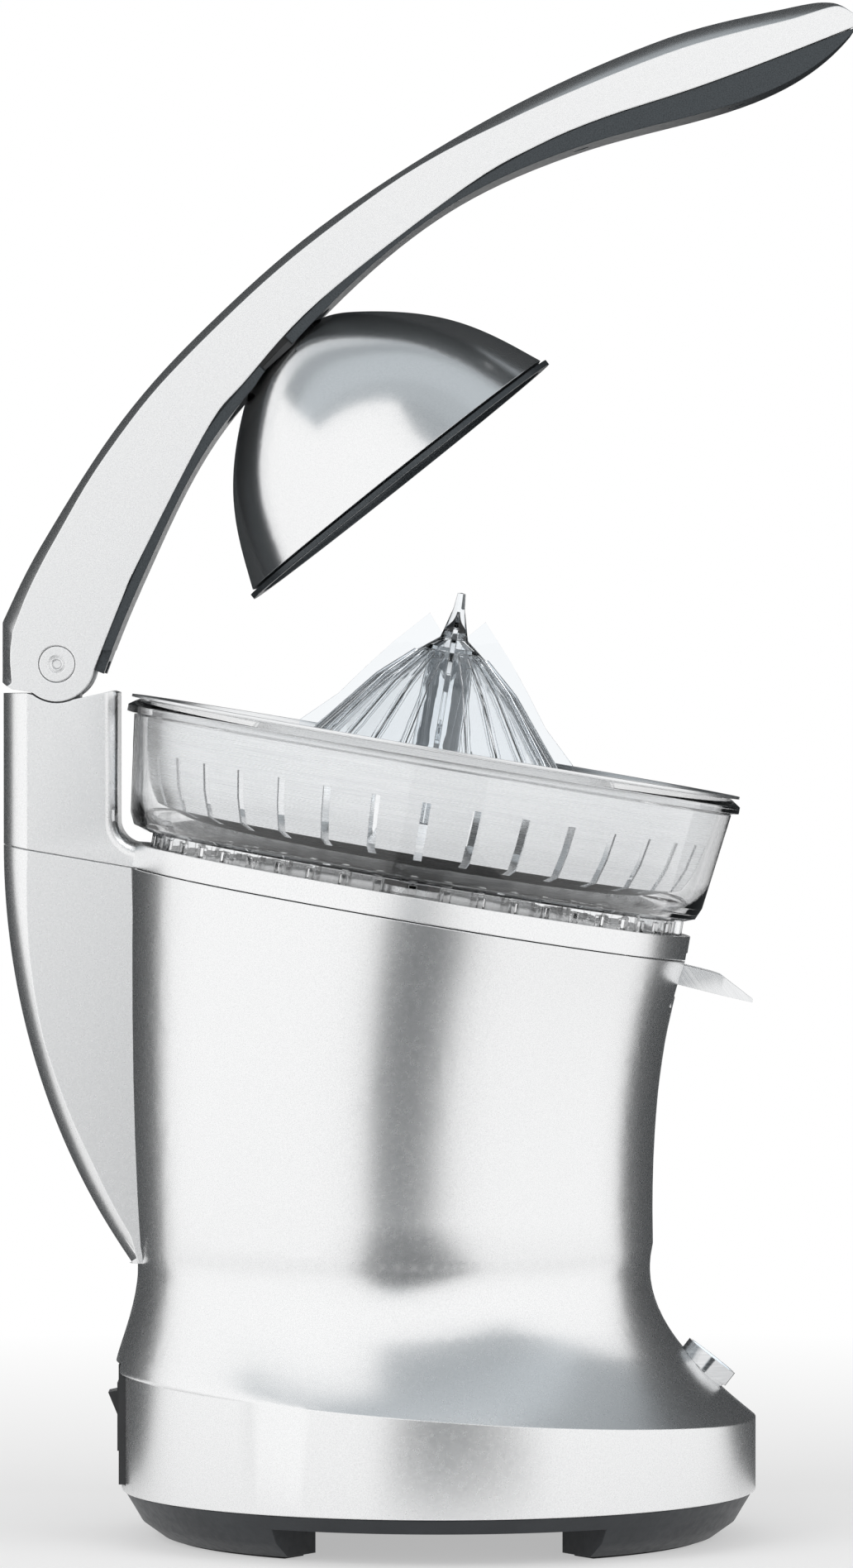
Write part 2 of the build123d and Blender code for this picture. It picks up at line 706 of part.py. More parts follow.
with BuildPart() as base_plate:
    with BuildSketch(base_section):
        with BuildLine():
            Polyline(
                (0, plate_bottom),
                (leg_inner_radius, plate_bottom),
                (leg_inner_radius, leg_bottom),
                (leg_toe_radius, leg_bottom),
                (leg_slope_radius, leg_slope_z),
                (rim_radius, plate_top),
                (rim_inner, plate_top),
                (rim_inner, plate_bottom + plate_thickness),
                (0, plate_bottom + plate_thickness),
                close=True,
            )
        make_face()
    revolve(axis=base_axis)
    # the legs stand only at the front and the rear
    leg_reach_x = 2 * base_radius * cos(radians(leg_half_angle))
    leg_reach_y = 2 * base_radius * sin(radians(leg_half_angle))
    with BuildSketch(Plane((base_x, 0, plate_bottom), x_dir=(1, 0, 0))):
        for side in (-1, 1):
            with BuildLine():
                Polyline(
                    (0, 0),
                    (leg_reach_x, side * leg_reach_y),
                    (-leg_reach_x, side * leg_reach_y),
                    close=True,
                )
            make_face()
    extrude(amount=-plate_bottom, mode=Mode.SUBTRACT)
    # posts for the control board
    with BuildSketch(Plane.XY.offset(plate_bottom + plate_thickness)):
        with Locations(*board_posts):
            Circle(board_post_radius)
    extrude(amount=board_z - seat_gap - plate_bottom - plate_thickness)
    crescents(leg_bottom, pad_inner, pad_outer, pad_half_angle, pad_recess, Mode.SUBTRACT)
    with BuildSketch(Plane((base_x, 0, plate_bottom), x_dir=(1, 0, 0))):
        for angle in base_screw_angles:
            with PolarLocations(base_screw_circle, 1, start_angle=angle):
                Circle(screw_radius + running_gap)
    extrude(amount=10, mode=Mode.SUBTRACT)
    with BuildSketch(Plane((base_x, 0, plate_bottom), x_dir=(1, 0, 0))):
        for angle in base_screw_angles:
            with PolarLocations(base_screw_circle, 1, start_angle=angle):
                Circle(screw_head_radius + 0.2)
    extrude(amount=2.4, mode=Mode.SUBTRACT)

base_plate.part.label = "base_plate"
export_step(base_plate.part, "parts/base_plate.step")

with BuildPart() as foot_pads:
    crescents(0, pad_inner + 0.1, pad_outer - 0.1, pad_half_angle - 0.1, pad_thickness, Mode.ADD)

foot_pads.part.label = "foot_pads"
export_step(foot_pads.part, "parts/foot_pads.step")

with BuildPart() as base_screws:
    with BuildSketch(Plane((base_x, 0, plate_bottom + 0.2), x_dir=(1, 0, 0))):
        for angle in base_screw_angles:
            with PolarLocations(base_screw_circle, 1, start_angle=angle):
                Circle(screw_head_radius)
                RegularPolygon(1.4, 6, mode=Mode.SUBTRACT)
    extrude(amount=2.1)
    with BuildSketch(Plane((base_x, 0, plate_bottom + 1.6), x_dir=(1, 0, 0))):
        for angle in base_screw_angles:
            with PolarLocations(base_screw_circle, 1, start_angle=angle):
                Circle(screw_radius - running_gap)
    extrude(amount=20)

base_screws.part.label = "base_screws"
export_step(base_screws.part, "parts/base_screws.step")

with BuildPart() as housing_screws:
    for angle in housing_screw_angles:
        screw_place = round_bowl(housing_screw_circle, angle)
        drum(deck_drop + 0.2, deck_drop + 2.1, screw_head_radius, at=screw_place)
        drum(deck_drop + 1.0, seam_drop + 10.0, screw_radius - running_gap, at=screw_place)

housing_screws.part.label = "housing_screws"
export_step(housing_screws.part, "parts/housing_screws.step")

# ---------------------------------------------------------------------------- hinge
def side_discs(y_start, y_end, radius, bore=0.0, mode=Mode.ADD):
    """A disc round the hinge on each side of the part, between two distances from its middle."""
    for plane, way in ((Plane.XZ.offset(-y_start), -1), (Plane.XZ.offset(y_start), 1)):
        with BuildSketch(plane) as disc:
            with Locations((hinge_x, hinge_z)):
                Circle(radius)
                if bore:
                    Circle(bore, mode=Mode.SUBTRACT)
        extrude(disc.sketch, amount=way * (y_end - y_start), mode=mode)


bracket_rear_x = column_rear_x + housing_wall + seat_gap
bracket_front_x = column_front_x - housing_wall - seat_gap
bracket_half_width = half_width - housing_wall - seat_gap
bracket_screw_x = (hinge_x - 11, hinge_x + 9)

with BuildPart() as hinge_bracket:
    with BuildSketch(Plane.XY.offset(bracket_bottom)):
        with Locations(((bracket_rear_x + bracket_front_x) / 2, 0)):
            Rectangle(bracket_front_x - bracket_rear_x, 2 * bracket_half_width)
    extrude(amount=bracket_height)
    with BuildSketch(Plane.XZ):
        with BuildLine():
            Polyline(
                (hinge_x - 13, bracket_bottom + bracket_height),
                (hinge_x + 12, bracket_bottom + bracket_height),
                (hinge_x + 8, bracket_bottom + bracket_height + 12),
                (hinge_x + 8, hinge_z),
                (hinge_x - 10, hinge_z),
                (hinge_x - 10, bracket_bottom + bracket_height + 8),
                close=True,
            )
        make_face()
        with Locations((hinge_x, hinge_z)):
            Circle(knuckle_radius)
            Circle(hinge_pin_radius + running_gap, mode=Mode.SUBTRACT)
    extrude(amount=knuckle_width / 2, both=True)
    with BuildSketch(Plane.XY.offset(bracket_bottom)):
        with Locations(*[(x, 0) for x in bracket_screw_x]):
            Circle(screw_radius)
    extrude(amount=bracket_height - 3, mode=Mode.SUBTRACT)

hinge_bracket.part.label = "hinge_bracket"
export_step(hinge_bracket.part, "parts/hinge_bracket.step")

with BuildPart() as bracket_screws:
    shelf_bottom = bracket_bottom - seat_gap - shelf_thickness
    with BuildSketch(Plane.XY.offset(shelf_bottom - 0.1)):
        with Locations(*[(x, 0) for x in bracket_screw_x]):
            Circle(screw_head_radius)
            RegularPolygon(1.4, 6, mode=Mode.SUBTRACT)
    extrude(amount=-2.2)
    with BuildSketch(Plane.XY.offset(shelf_bottom - 0.9)):
        with Locations(*[(x, 0) for x in bracket_screw_x]):
            Circle(screw_radius - running_gap)
    extrude(amount=shelf_thickness + 12)

bracket_screws.part.label = "bracket_screws"
export_step(bracket_screws.part, "parts/bracket_screws.step")

with BuildPart() as hinge_pin:
    with BuildSketch(Plane.XZ):
        with Locations((hinge_x, hinge_z)):
            Circle(hinge_pin_radius)
    extrude(amount=half_width - cap_thickness - 0.1, both=True)

hinge_pin.part.label = "hinge_pin"
export_step(hinge_pin.part, "parts/hinge_pin.step")

with BuildPart() as hinge_caps:
    side_discs(half_width - cap_thickness, half_width - 0.1, cap_radius)
    side_discs(half_width - 1.3, half_width, cap_socket_radius, mode=Mode.SUBTRACT)

hinge_caps.part.label = "hinge_caps"
export_step(hinge_caps.part, "parts/hinge_caps.step")

# Torsion springs beside the knuckle: one leg lies down the bracket, the other up the arm
coil_start_y = knuckle_width / 2 + 0.9 + spring_wire_radius
coil_height = half_width - arm_side_wall - 0.5 - spring_wire_radius - coil_start_y

with BuildPart() as arm_springs:
    coil = Helix(
        coil_height / spring_turns,
        coil_height,
        spring_coil_radius,
        center=(hinge_x, coil_start_y, hinge_z),
        direction=(0, 1, 0),
        mode=Mode.PRIVATE,
    ).rotate(Axis((hinge_x, 0, hinge_z), (0, 1, 0)), -90)
    with BuildSketch(Plane(origin=coil @ 0, z_dir=coil % 0)):
        Circle(spring_wire_radius)
    sweep(path=coil, is_frenet=True)
    # the legs are drawn a little thinner than the coil
    with BuildSketch(Plane(origin=coil @ 0, z_dir=(0, 0, -1)).offset(-1.0)):
        Circle(spring_wire_radius - 0.1)
    extrude(amount=spring_leg)
    with BuildSketch(Plane(origin=coil @ 1, z_dir=((coil % 1).X, 0, (coil % 1).Z)).offset(-1.0)):
        Circle(spring_wire_radius - 0.1)
    extrude(amount=spring_leg)
    mirror(about=Plane.XZ)

arm_springs.part.label = "arm_springs"
export_step(arm_springs.part, "parts/arm_springs.step")

# ---------------------------------------------------------------------------- arm
edge_line = [(x, z) for x, z, depth in arm_edge]
cover_depths = [depth for x, z, depth in arm_edge]
back_line = [(x, z) for x, z, facet in arm_back]
facet_line = moved_aside(back_line, [facet for x, z, facet in arm_back])


def arm_outline(back_points):
    """Side outline of the arm, with the given line along its back."""
    back = Spline(*at_hinge(back_points))
    tip = TangentArc(*at_hinge([back_points[-1], edge_line[-1]]), tangent=back % 1)
    lower = Spline(*at_hinge(edge_line[::-1]))
    boss = ThreePointArc(lower @ 1, (hinge_x, hinge_z - hinge_boss_radius), *at_hinge([(-9.0, -10.33)]))
    heel = [(-16.4, -9.2), (back_points[0][0], -6.5), back_points[0]]
    Polyline(boss @ 1, *at_hinge(heel))


with BuildPart() as arm_shell:
    with BuildSketch(Plane.XZ):
        with BuildLine():
            arm_outline(back_line)
        make_face()
    extrude(amount=half_width - facet_depth, both=True)
    # facets along both sides of the back
    for side in (-1, 1):
        with BuildSketch(Plane.XZ.offset(side * (half_width - facet_depth))):
            with BuildLine():
                arm_outline(back_line)
            make_face()
        with BuildSketch(Plane.XZ.offset(side * half_width)):
            with BuildLine():
                arm_outline(facet_line)
            make_face()
        loft(ruled=True)
    inner_back = moved_aside(facet_line, [arm_wall] * len(arm_back))[:-1]
    opening = moved_aside(edge_line, [4.0] * len(edge_line))
    with BuildSketch(Plane.XZ):
        with BuildLine():
            inside = Spline(*at_hinge(inner_back[:-1] + [(272.0, facet_line[-1][1] - arm_wall - 1.2)]))
            below_root = [(18.0, -5.0), (18.0, -16.0), (inner_back[0][0], -16.0)]
            Polyline(
                inside @ 1,
                *at_hinge([(272.0, 219.0)] + opening[1:-1][::-1] + below_root),
                inside @ 0,
            )
        make_face()
    extrude(amount=half_width - arm_side_wall, both=True, mode=Mode.SUBTRACT)
    side_discs(0, half_width, hinge_pin_radius + 0.02, mode=Mode.SUBTRACT)
    side_discs(half_width - cap_thickness - 0.05, half_width, cap_radius + 0.2, mode=Mode.SUBTRACT)

arm_shell.part.label = "arm_shell"
export_step(arm_shell.part, "parts/arm_shell.step")

cover_top = moved_aside(edge_line, [0.25] * len(edge_line))
cover_under = moved_aside(edge_line, cover_depths)
tongue_top = moved_aside(edge_line, [-cover_tongue] * len(edge_line))
tongue_root = moved_aside(edge_line, [depth / 2 for depth in cover_depths])


def cover_strip(first, last, upper, under, half):
    """Strip of a cover between two of the edge's points, to a half width."""
    with BuildSketch(Plane.XZ) as strip:
        with BuildLine():
            top = Spline(*at_hinge(upper[first : last + 1]))
            bottom = Spline(*at_hinge(under[first : last + 1]))
            Line(top @ 0, bottom @ 0)
            Line(top @ 1, bottom @ 1)
        make_face()
    extrude(strip.sketch, amount=half, both=True)


with BuildPart() as mount_clear:
    with BuildSketch(mount_plane.offset(-12)):
        Circle(mount_radius + seat_gap)
    extrude(amount=40)


def dome_outline(grown):
    """Points of the dome's outside, moved outward by a distance, up to its crown."""
    points = dome_curve + [(0, dome_height)]
    moved = moved_aside(points, [grown] * len(points))
    return moved[:-1] + [(0, dome_height + grown)]


# Room that the dome needs beside the covers and the mount over its swivel
dome_swings = (-dome_swivel, 0, dome_swivel)
with BuildPart() as dome_room:
    with BuildSketch(dome_section):
        with BuildLine():
            room = Spline(*dome_outline(moving_gap), tangents=[(-0.39, 0.92), (-1, 0)])
            Line(room @ 1, (0, dome_curve[0][1]))
            Line((0, dome_curve[0][1]), room @ 0)
        make_face()
    revolve(axis=dome_axis)

with BuildPart() as beyond_mount:
    with BuildSketch(Plane(origin=mount_plane.origin, x_dir=(0, 1, 0), z_dir=mount_plane.x_dir)):
        Rectangle(80, 120)
    extrude(amount=120)

with BuildPart() as arm_rear_cover:
    cover_strip(0, mount_piece, cover_top, cover_under, half_width - cover_edge)
    cover_strip(1, mount_piece, tongue_top, tongue_root, half_width - arm_side_wall - seat_gap)
    # slimmer where it passes between the column's sides, and forked round the knuckle
    with BuildSketch(Plane.XY.offset(hinge_z + 5)):
        with Locations((hinge_x + 20, half_width), (hinge_x + 20, -half_width)):
            Rectangle(60, 2 * (half_width - 17.5))
    extrude(amount=-30, mode=Mode.SUBTRACT)
    with BuildSketch(Plane.XY.offset(hinge_z + 1)):
        with Locations((hinge_x + 20, 0)):
            Rectangle(60, knuckle_width + 2)
    extrude(amount=-30, mode=Mode.SUBTRACT)
    add(mount_clear.part, mode=Mode.SUBTRACT)
    add(beyond_mount.part, mode=Mode.SUBTRACT)
    for swing in dome_swings:
        add(dome_room.part.rotate(Axis(dome_pivot, (0, 1, 0)), swing), mode=Mode.SUBTRACT)

arm_rear_cover.part.label = "arm_rear_cover"
export_step(arm_rear_cover.part, "parts/arm_rear_cover.step")

# Screws through the grip cover into bosses of the arm, square to the grip
def grip_screw_plane(reach):
    """Plane on the silver edge at a reach ahead of the hinge, facing down and away from the arm."""
    for i in range(len(edge_line) - 1):
        (x_0, z_0), (x_1, z_1) = edge_line[i], edge_line[i + 1]
        if x_0 <= reach < x_1:
            share = (reach - x_0) / (x_1 - x_0)
            along = Vector(x_1 - x_0, 0, z_1 - z_0).normalized()
            depth = cover_depths[i] + share * (cover_depths[i + 1] - cover_depths[i])
            place = Vector(hinge_x + reach, 0, hinge_z + z_0 + share * (z_1 - z_0))
            outward = Vector(along.Z, 0, -along.X)
            return Plane(origin=place, x_dir=along, z_dir=outward), depth


with BuildPart() as grip_cover:
    cover_strip(mount_piece - 1, len(arm_edge) - 1, cover_top, cover_under, half_width - cover_edge)
    cover_strip(
        mount_piece - 1, len(arm_edge) - 2, tongue_top, tongue_root, half_width - arm_side_wall - seat_gap
    )
    add(mount_clear.part, mode=Mode.SUBTRACT)
    with BuildSketch(Plane(origin=mount_plane.origin, x_dir=(0, 1, 0), z_dir=-mount_plane.x_dir)):
        Rectangle(80, 120)
    extrude(amount=120, mode=Mode.SUBTRACT)
    for swing in dome_swings:
        add(dome_room.part.rotate(Axis(dome_pivot, (0, 1, 0)), swing), mode=Mode.SUBTRACT)
    for reach in grip_screw_reach:
        screw_plane, cover_depth = grip_screw_plane(reach)
        with BuildSketch(screw_plane.offset(cover_depth + 3)):
            Circle(grip_screw_radius + 0.1)
        extrude(amount=-cover_depth - 10, mode=Mode.SUBTRACT)
        with BuildSketch(screw_plane.offset(cover_depth + 3)):
            Circle(grip_screw_head + 0.3)
        extrude(amount=-3 - grip_screw_sink, mode=Mode.SUBTRACT)

grip_cover.part.label = "grip_cover"
export_step(grip_cover.part, "parts/grip_cover.step")

with BuildPart() as grip_screws:
    for reach in grip_screw_reach:
        screw_plane, cover_depth = grip_screw_plane(reach)
        with BuildSketch(screw_plane.offset(cover_depth - grip_screw_sink + 1.6)):
            Circle(grip_screw_head)
            RegularPolygon(1.1, 6, mode=Mode.SUBTRACT)
        extrude(amount=-1.5)
        with BuildSketch(screw_plane.offset(cover_depth - grip_screw_sink + 0.9)):
            Circle(grip_screw_radius)
        extrude(amount=-grip_screw_length)

grip_screws.part.label = "grip_screws"
export_step(grip_screws.part, "parts/grip_screws.step")

# ---------------------------------------------------------------------------- press dome
def dome_wall(outside, inside, start_height):
    """Section of a dome-shaped sheet between two distances from the dome's outside."""
    outer_curve = Spline(*dome_outline(outside), tangents=[(-0.39, 0.92), (-1, 0)])
    inner_curve = Spline(*dome_outline(inside), tangents=[(-0.39, 0.92), (-1, 0)])
    Line(outer_curve @ 1, inner_curve @ 1)
    Line(outer_curve @ 0, inner_curve @ 0)


with BuildPart() as dome_shell:
    with BuildSketch(dome_section):
        with BuildLine():
            dome_wall(0, -dome_sheet, dome_curve[0][1])
        make_face()
    revolve(axis=dome_axis)
    with BuildSketch(dome_plane):
        Circle(screw_radius + running_gap)
    extrude(amount=dome_height + 5, mode=Mode.SUBTRACT)

dome_shell.part.label = "dome_shell"
export_step(dome_shell.part, "parts/dome_shell.step")

with BuildPart() as dome_liner:
    with BuildSketch(dome_section):
        with BuildLine():
            dome_wall(-dome_sheet - liner_gap, -dome_sheet - liner_gap - liner_sheet, dome_curve[0][1])
        make_face()
    revolve(axis=dome_axis)
    # lip that wraps the dome's edge
    with BuildSketch(dome_section):
        with Locations((dome_rim_radius - 1.2, 0)):
            Rectangle(4.6, 2.0)
    revolve(axis=dome_axis)
    with BuildSketch(dome_section):
        with Locations((dome_curve[0][0] - dome_sheet - liner_gap - 1.6, 2.0)):
            Rectangle(1.4, 3.0)
    revolve(axis=dome_axis)
    with BuildSketch(dome_plane):
        Circle(screw_head_radius + seat_gap)
    extrude(amount=dome_height + 5, mode=Mode.SUBTRACT)

dome_liner.part.label = "dome_liner"
export_step(dome_liner.part, "parts/dome_liner.step")

with BuildPart() as dome_body:
    with BuildSketch(dome_section):
        with BuildLine():
            skin = Spline(*dome_outline(0.0), tangents=[(-0.39, 0.92), (-1, 0)])
            Line(skin @ 1, (0, dome_curve[0][1]))
            Line((0, dome_curve[0][1]), skin @ 0)
        make_face()
    revolve(axis=dome_axis)

pivot_section = Plane(origin=dome_pivot, x_dir=dome_across, z_dir=(0, -1, 0))

with BuildPart() as dome_hub:
    with BuildSketch(dome_plane.offset(dome_height - 2.0)):
        Circle(hub_radius)
    extrude(amount=4.0)
    with BuildSketch(pivot_section):
        Circle(hub_lug_radius)
        with Locations((0, -3.0)):
            Rectangle(2 * hub_lug_radius, 6.0)
    extrude(amount=hub_lug_half, both=True)
    with BuildSketch(pivot_section):
        Circle(dome_pin_radius + running_gap)
    extrude(amount=hub_lug_half + 5, both=True, mode=Mode.SUBTRACT)
    with BuildSketch(dome_plane.offset(dome_height - 4)):
        Circle(screw_radius - 0.3)
    extrude(amount=7.5, mode=Mode.SUBTRACT)
    add(dome_body.part, mode=Mode.SUBTRACT)

dome_hub.part.label = "dome_hub"
export_step(dome_hub.part, "parts/dome_hub.step")

with BuildPart() as hub_screw:
    with BuildSketch(dome_plane.offset(dome_height - dome_sheet - 2.2)):
        Circle(screw_head_radius)
        RegularPolygon(1.4, 6, mode=Mode.SUBTRACT)
    extrude(amount=1.9)
    with BuildSketch(dome_plane.offset(dome_height - dome_sheet - 1.0)):
        Circle(screw_radius - 0.35)
    extrude(amount=dome_sheet + 3.5)

hub_screw.part.label = "hub_screw"
export_step(hub_screw.part, "parts/hub_screw.step")

with BuildPart() as dome_mount:
    with BuildSketch(mount_plane.offset(mount_bottom)):
        Circle(mount_radius)
    extrude(amount=mount_shoulder - mount_bottom)
    with BuildSketch(mount_plane.offset(mount_shoulder)):
        Rectangle(2 * mount_radius - 8, 2 * (half_width - arm_side_wall - seat_gap))
        Circle(mount_radius, mode=Mode.INTERSECT)
    extrude(amount=mount_top - mount_shoulder)
    # room for the hub and for the dome's crown over the whole swivel
    with BuildSketch(pivot_section):
        Circle(hub_lug_radius + moving_gap + 0.4)
    extrude(amount=hub_lug_half + moving_gap, both=True, mode=Mode.SUBTRACT)
    with BuildSketch(Plane(origin=dome_pivot, x_dir=dome_across, z_dir=-dome_up)):
        Circle(hub_radius + 2.2)
    extrude(amount=20, mode=Mode.SUBTRACT)
    for swing in dome_swings:
        add(dome_room.part.rotate(Axis(dome_pivot, (0, 1, 0)), swing), mode=Mode.SUBTRACT)
    with BuildSketch(pivot_section):
        Circle(dome_pin_radius + 0.02)
    extrude(amount=half_width, both=True, mode=Mode.SUBTRACT)

dome_mount.part.label = "dome_mount"
export_step(dome_mount.part, "parts/dome_mount.step")

with BuildPart() as dome_pivot_pin:
    with BuildSketch(pivot_section):
        Circle(dome_pin_radius)
    extrude(amount=half_width - arm_side_wall - 1.5, both=True)

dome_pivot_pin.part.label = "dome_pivot_pin"
export_step(dome_pivot_pin.part, "parts/dome_pivot_pin.step")

# ---------------------------------------------------------------------------- juice bowl
with BuildPart() as juice_bowl:
    with BuildSketch(bowl_section):
        with BuildLine():
            wall_top = bowl_rim_radius - bowl_lip
            Polyline(
                (wall_top - bowl_wall, -bowl_rim_height),
                (wall_top - 1.0, 0),
                (bowl_rim_radius, -2.5),
                (bowl_rim_radius, -bowl_rim_height + 0.8),
                (wall_top, -bowl_rim_height),
                (bowl_bottom_radius + 0.4, -bowl_depth + bowl_corner + 0.8),
                (bowl_bottom_radius - bowl_corner * 0.3, -bowl_depth + bowl_corner * 0.3),
                (bowl_bottom_radius - bowl_corner, -bowl_depth),
                (bowl_skirt_radius, -bowl_depth),
                (bowl_skirt_radius, -deck_drop + seat_gap),
                (bowl_skirt_radius - bowl_skirt_thickness, -deck_drop + seat_gap),
                (bowl_skirt_radius - bowl_skirt_thickness, -bowl_depth),
                (chimney_radius - bowl_wall, -bowl_depth),
                (chimney_radius - bowl_wall, -chimney_top_drop),
                (chimney_radius, -chimney_top_drop),
                (chimney_radius, -bowl_depth + bowl_wall),
                (bowl_bottom_radius - bowl_corner - 0.5, -bowl_depth + bowl_wall),
                (bowl_bottom_radius - bowl_wall - 0.2, -bowl_depth + bowl_wall + bowl_corner - 0.6),
                close=True,
            )
        make_face()
    revolve(axis=bowl_axis)
    # gaps between the ribs of the skirt
    with BuildSketch(bowl_plane.offset(-deck_drop)):
        with PolarLocations(bowl_skirt_radius - bowl_skirt_thickness / 2, bowl_skirt_ribs):
            Rectangle(bowl_skirt_thickness + 2, skirt_gap_width)
    extrude(amount=deck_drop - bowl_depth - 1.4, mode=Mode.SUBTRACT)
    outlet_bore = outlet_radius - bowl_wall
    drum(bowl_depth - 0.2, outlet_end_drop, outlet_radius, outlet_bore, at=neck_place)
    drum(bowl_depth - 4, outlet_end_drop + 1, outlet_bore, at=neck_place, mode=Mode.SUBTRACT)

juice_bowl.part.label = "juice_bowl"
export_step(juice_bowl.part, "parts/juice_bowl.step")

# ---------------------------------------------------------------------------- strainer basket
basket_line = [
    (basket_rim_radius, 0.4 + basket_sheet), (basket_top_radius + 1.2, 0.4 + basket_sheet),
    (basket_top_radius, -1.2), (basket_top_radius - 0.3, -8.0), (basket_top_radius - 2.1, -19.0),
    (basket_top_radius - 4.3, -28.0), (basket_top_radius - 8.0, -37.0),
    (basket_floor_radius, -basket_depth), (hump_radius + 5.0, -basket_depth),
    (hump_radius, -hump_drop), (stem_radius + 2.0, -hump_drop),
]

with BuildPart() as strainer_basket:
    with BuildSketch(bowl_section):
        with BuildLine():
            upper_side = Polyline(*basket_line)
            lower_side = Polyline(*moved_aside(basket_line, [-basket_sheet] * len(basket_line)))
            Line(upper_side @ 0, lower_side @ 0)
            Line(upper_side @ 1, lower_side @ 1)
        make_face()
    revolve(axis=bowl_axis)
    with BuildSketch(bowl_plane.offset(-basket_depth + 1.5)):
        with PolarLocations((basket_floor_radius + basket_top_radius) / 2 + 3, basket_slots):
            Rectangle(basket_top_radius - basket_floor_radius + 4, slot_width)
    extrude(amount=basket_depth - 1.5 - slot_top_drop, mode=Mode.SUBTRACT)

strainer_basket.part.label = "strainer_basket"
export_step(strainer_basket.part, "parts/strainer_basket.step")

# ---------------------------------------------------------------------------- juicing cone
def radial_plane(angle):
    """Upright plane through the bowl axis, facing an angle from the front."""
    x_dir = bowl_across * cos(radians(angle)) + Vector(0, 1, 0) * sin(radians(angle))
    return Plane(origin=bowl_origin, x_dir=x_dir, z_dir=x_dir.cross(lean_forward))


rib_line = cone_line[cone_rib_start:]
rib_front = moved_aside(rib_line, [-rib_height] * len(rib_line))
rib_back = moved_aside(rib_line, [rib_height] * len(rib_line))
fin_angles = [360 / cone_fins * i for i in range(cone_fins)]
rib_angles = [360 / cone_ribs * i for i in range(cone_ribs)]

with BuildPart() as juicing_cone:
    with BuildSketch(bowl_section):
        with BuildLine():
            outside = Polyline(*cone_line)
            inside = Polyline(*moved_aside(cone_line, [cone_shell] * len(cone_line))[cone_rib_start - 1:])
            Line(outside @ 1, inside @ 1)
            Line(inside @ 0, (0, (inside @ 0).Y))
            Line((0, (inside @ 0).Y), outside @ 0)
        make_face()
    revolve(axis=bowl_axis)
    drum(-cone_line[cone_rib_start][1] - 2, stem_end_drop, stem_radius)
    with BuildSketch(*[radial_plane(a) for a in rib_angles if a not in fin_angles]):
        with BuildLine():
            rib_out = Polyline(*rib_front)
            rib_in = Polyline(*rib_back)
            Line(rib_out @ 0, rib_in @ 0)
            Line(rib_out @ 1, rib_in @ 1)
        make_face()
    extrude(amount=rib_thickness / 2, both=True)
    with BuildSketch(*[radial_plane(a) for a in fin_angles]):
        with BuildLine():
            fin_out = Polyline(*fin_line)
            fin_foot = (cone_foot_radius - 1.5, -cone_foot_drop)
            Polyline(fin_out @ 1, fin_foot, rib_back[1], (3.0, 36.0), fin_out @ 0)
        make_face()
    extrude(amount=fin_thickness / 2, both=True)
    # socket for the drive hexagon
    with BuildSketch(bowl_plane.offset(-stem_end_drop)):
        RegularPolygon(hex_across / 2 + 0.15, 6, major_radius=False)
    extrude(amount=stem_end_drop - peg_top_drop + seat_gap, mode=Mode.SUBTRACT)

juicing_cone.part.label = "juicing_cone"
export_step(juicing_cone.part, "parts/juicing_cone.step")

# ---------------------------------------------------------------------------- drive
hub_top_drop = case_top_drop + 0.5
gear_bottom_drop = output_gear_drop + gear_thickness
hub_end_drop = gear_bottom_drop + 4.0
hex_start_drop = output_gear_drop + 1.5
sleeve_inner = carrier_radius + seat_gap
sleeve_outer = sleeve_inner + 2.0
inter_distance = gear_module * (output_teeth + inter_pinion_teeth) / 2
motor_distance = gear_module * (inter_teeth + motor_pinion_teeth) / 2
inter_place = round_bowl(inter_distance, inter_angle)
motor_place = (
    inter_place[0] + motor_distance * cos(radians(motor_angle)),
    inter_place[1] + motor_distance * sin(radians(motor_angle)),
)
inter_gear_drop = hub_end_drop + 1.0
inter_gear_end = inter_gear_drop + 6.0


def spur_gear(top_drop, bottom_drop, teeth, tooth_angle, at=(0, 0)):
    """Spur gear between two drops, with a tooth at the given angle."""
    with BuildSketch(bowl_plane.offset(-bottom_drop)) as blank:
        with BuildLine():
            Polyline(*[(at[0] + x, at[1] + y) for x, y in gear_outline(teeth, tooth_angle)], close=True)
        make_face()
    extrude(blank.sketch, amount=bottom_drop - top_drop)


def hexagon(top_drop, bottom_drop, across, mode=Mode.ADD):
    """Hexagonal bar on the bowl axis, by its width across flats."""
    with BuildSketch(bowl_plane.offset(-bottom_drop)) as bar:
        RegularPolygon(across / 2, 6, major_radius=False)
    extrude(bar.sketch, amount=bottom_drop - top_drop, mode=mode)


with BuildPart() as spindle_bush:
    drum(spindle_boss_drop + 0.2, spindle_boss_end, bush_radius, spindle_radius + running_gap)

spindle_bush.part.label = "spindle_bush"
export_step(spindle_bush.part, "parts/spindle_bush.step")

with BuildPart() as spindle_seal:
    drum(spindle_boss_drop - 1.6, spindle_boss_drop, spindle_boss_radius - 0.6, spindle_radius + 0.25)

spindle_seal.part.label = "spindle_seal"
export_step(spindle_seal.part, "parts/spindle_seal.step")

with BuildPart() as drive_spindle:
    hexagon(peg_top_drop, peg_end_drop, hex_across)
    drum(peg_end_drop, hex_start_drop - press_travel - 0.5, spindle_radius)
    hexagon(hex_start_drop - press_travel - 0.5, carrier_drop - 0.3, hub_bore)
    drum(carrier_drop - 0.3, carrier_drop + carrier_thickness - 0.3, 3.0)

drive_spindle.part.label = "drive_spindle"
export_step(drive_spindle.part, "parts/drive_spindle.step")

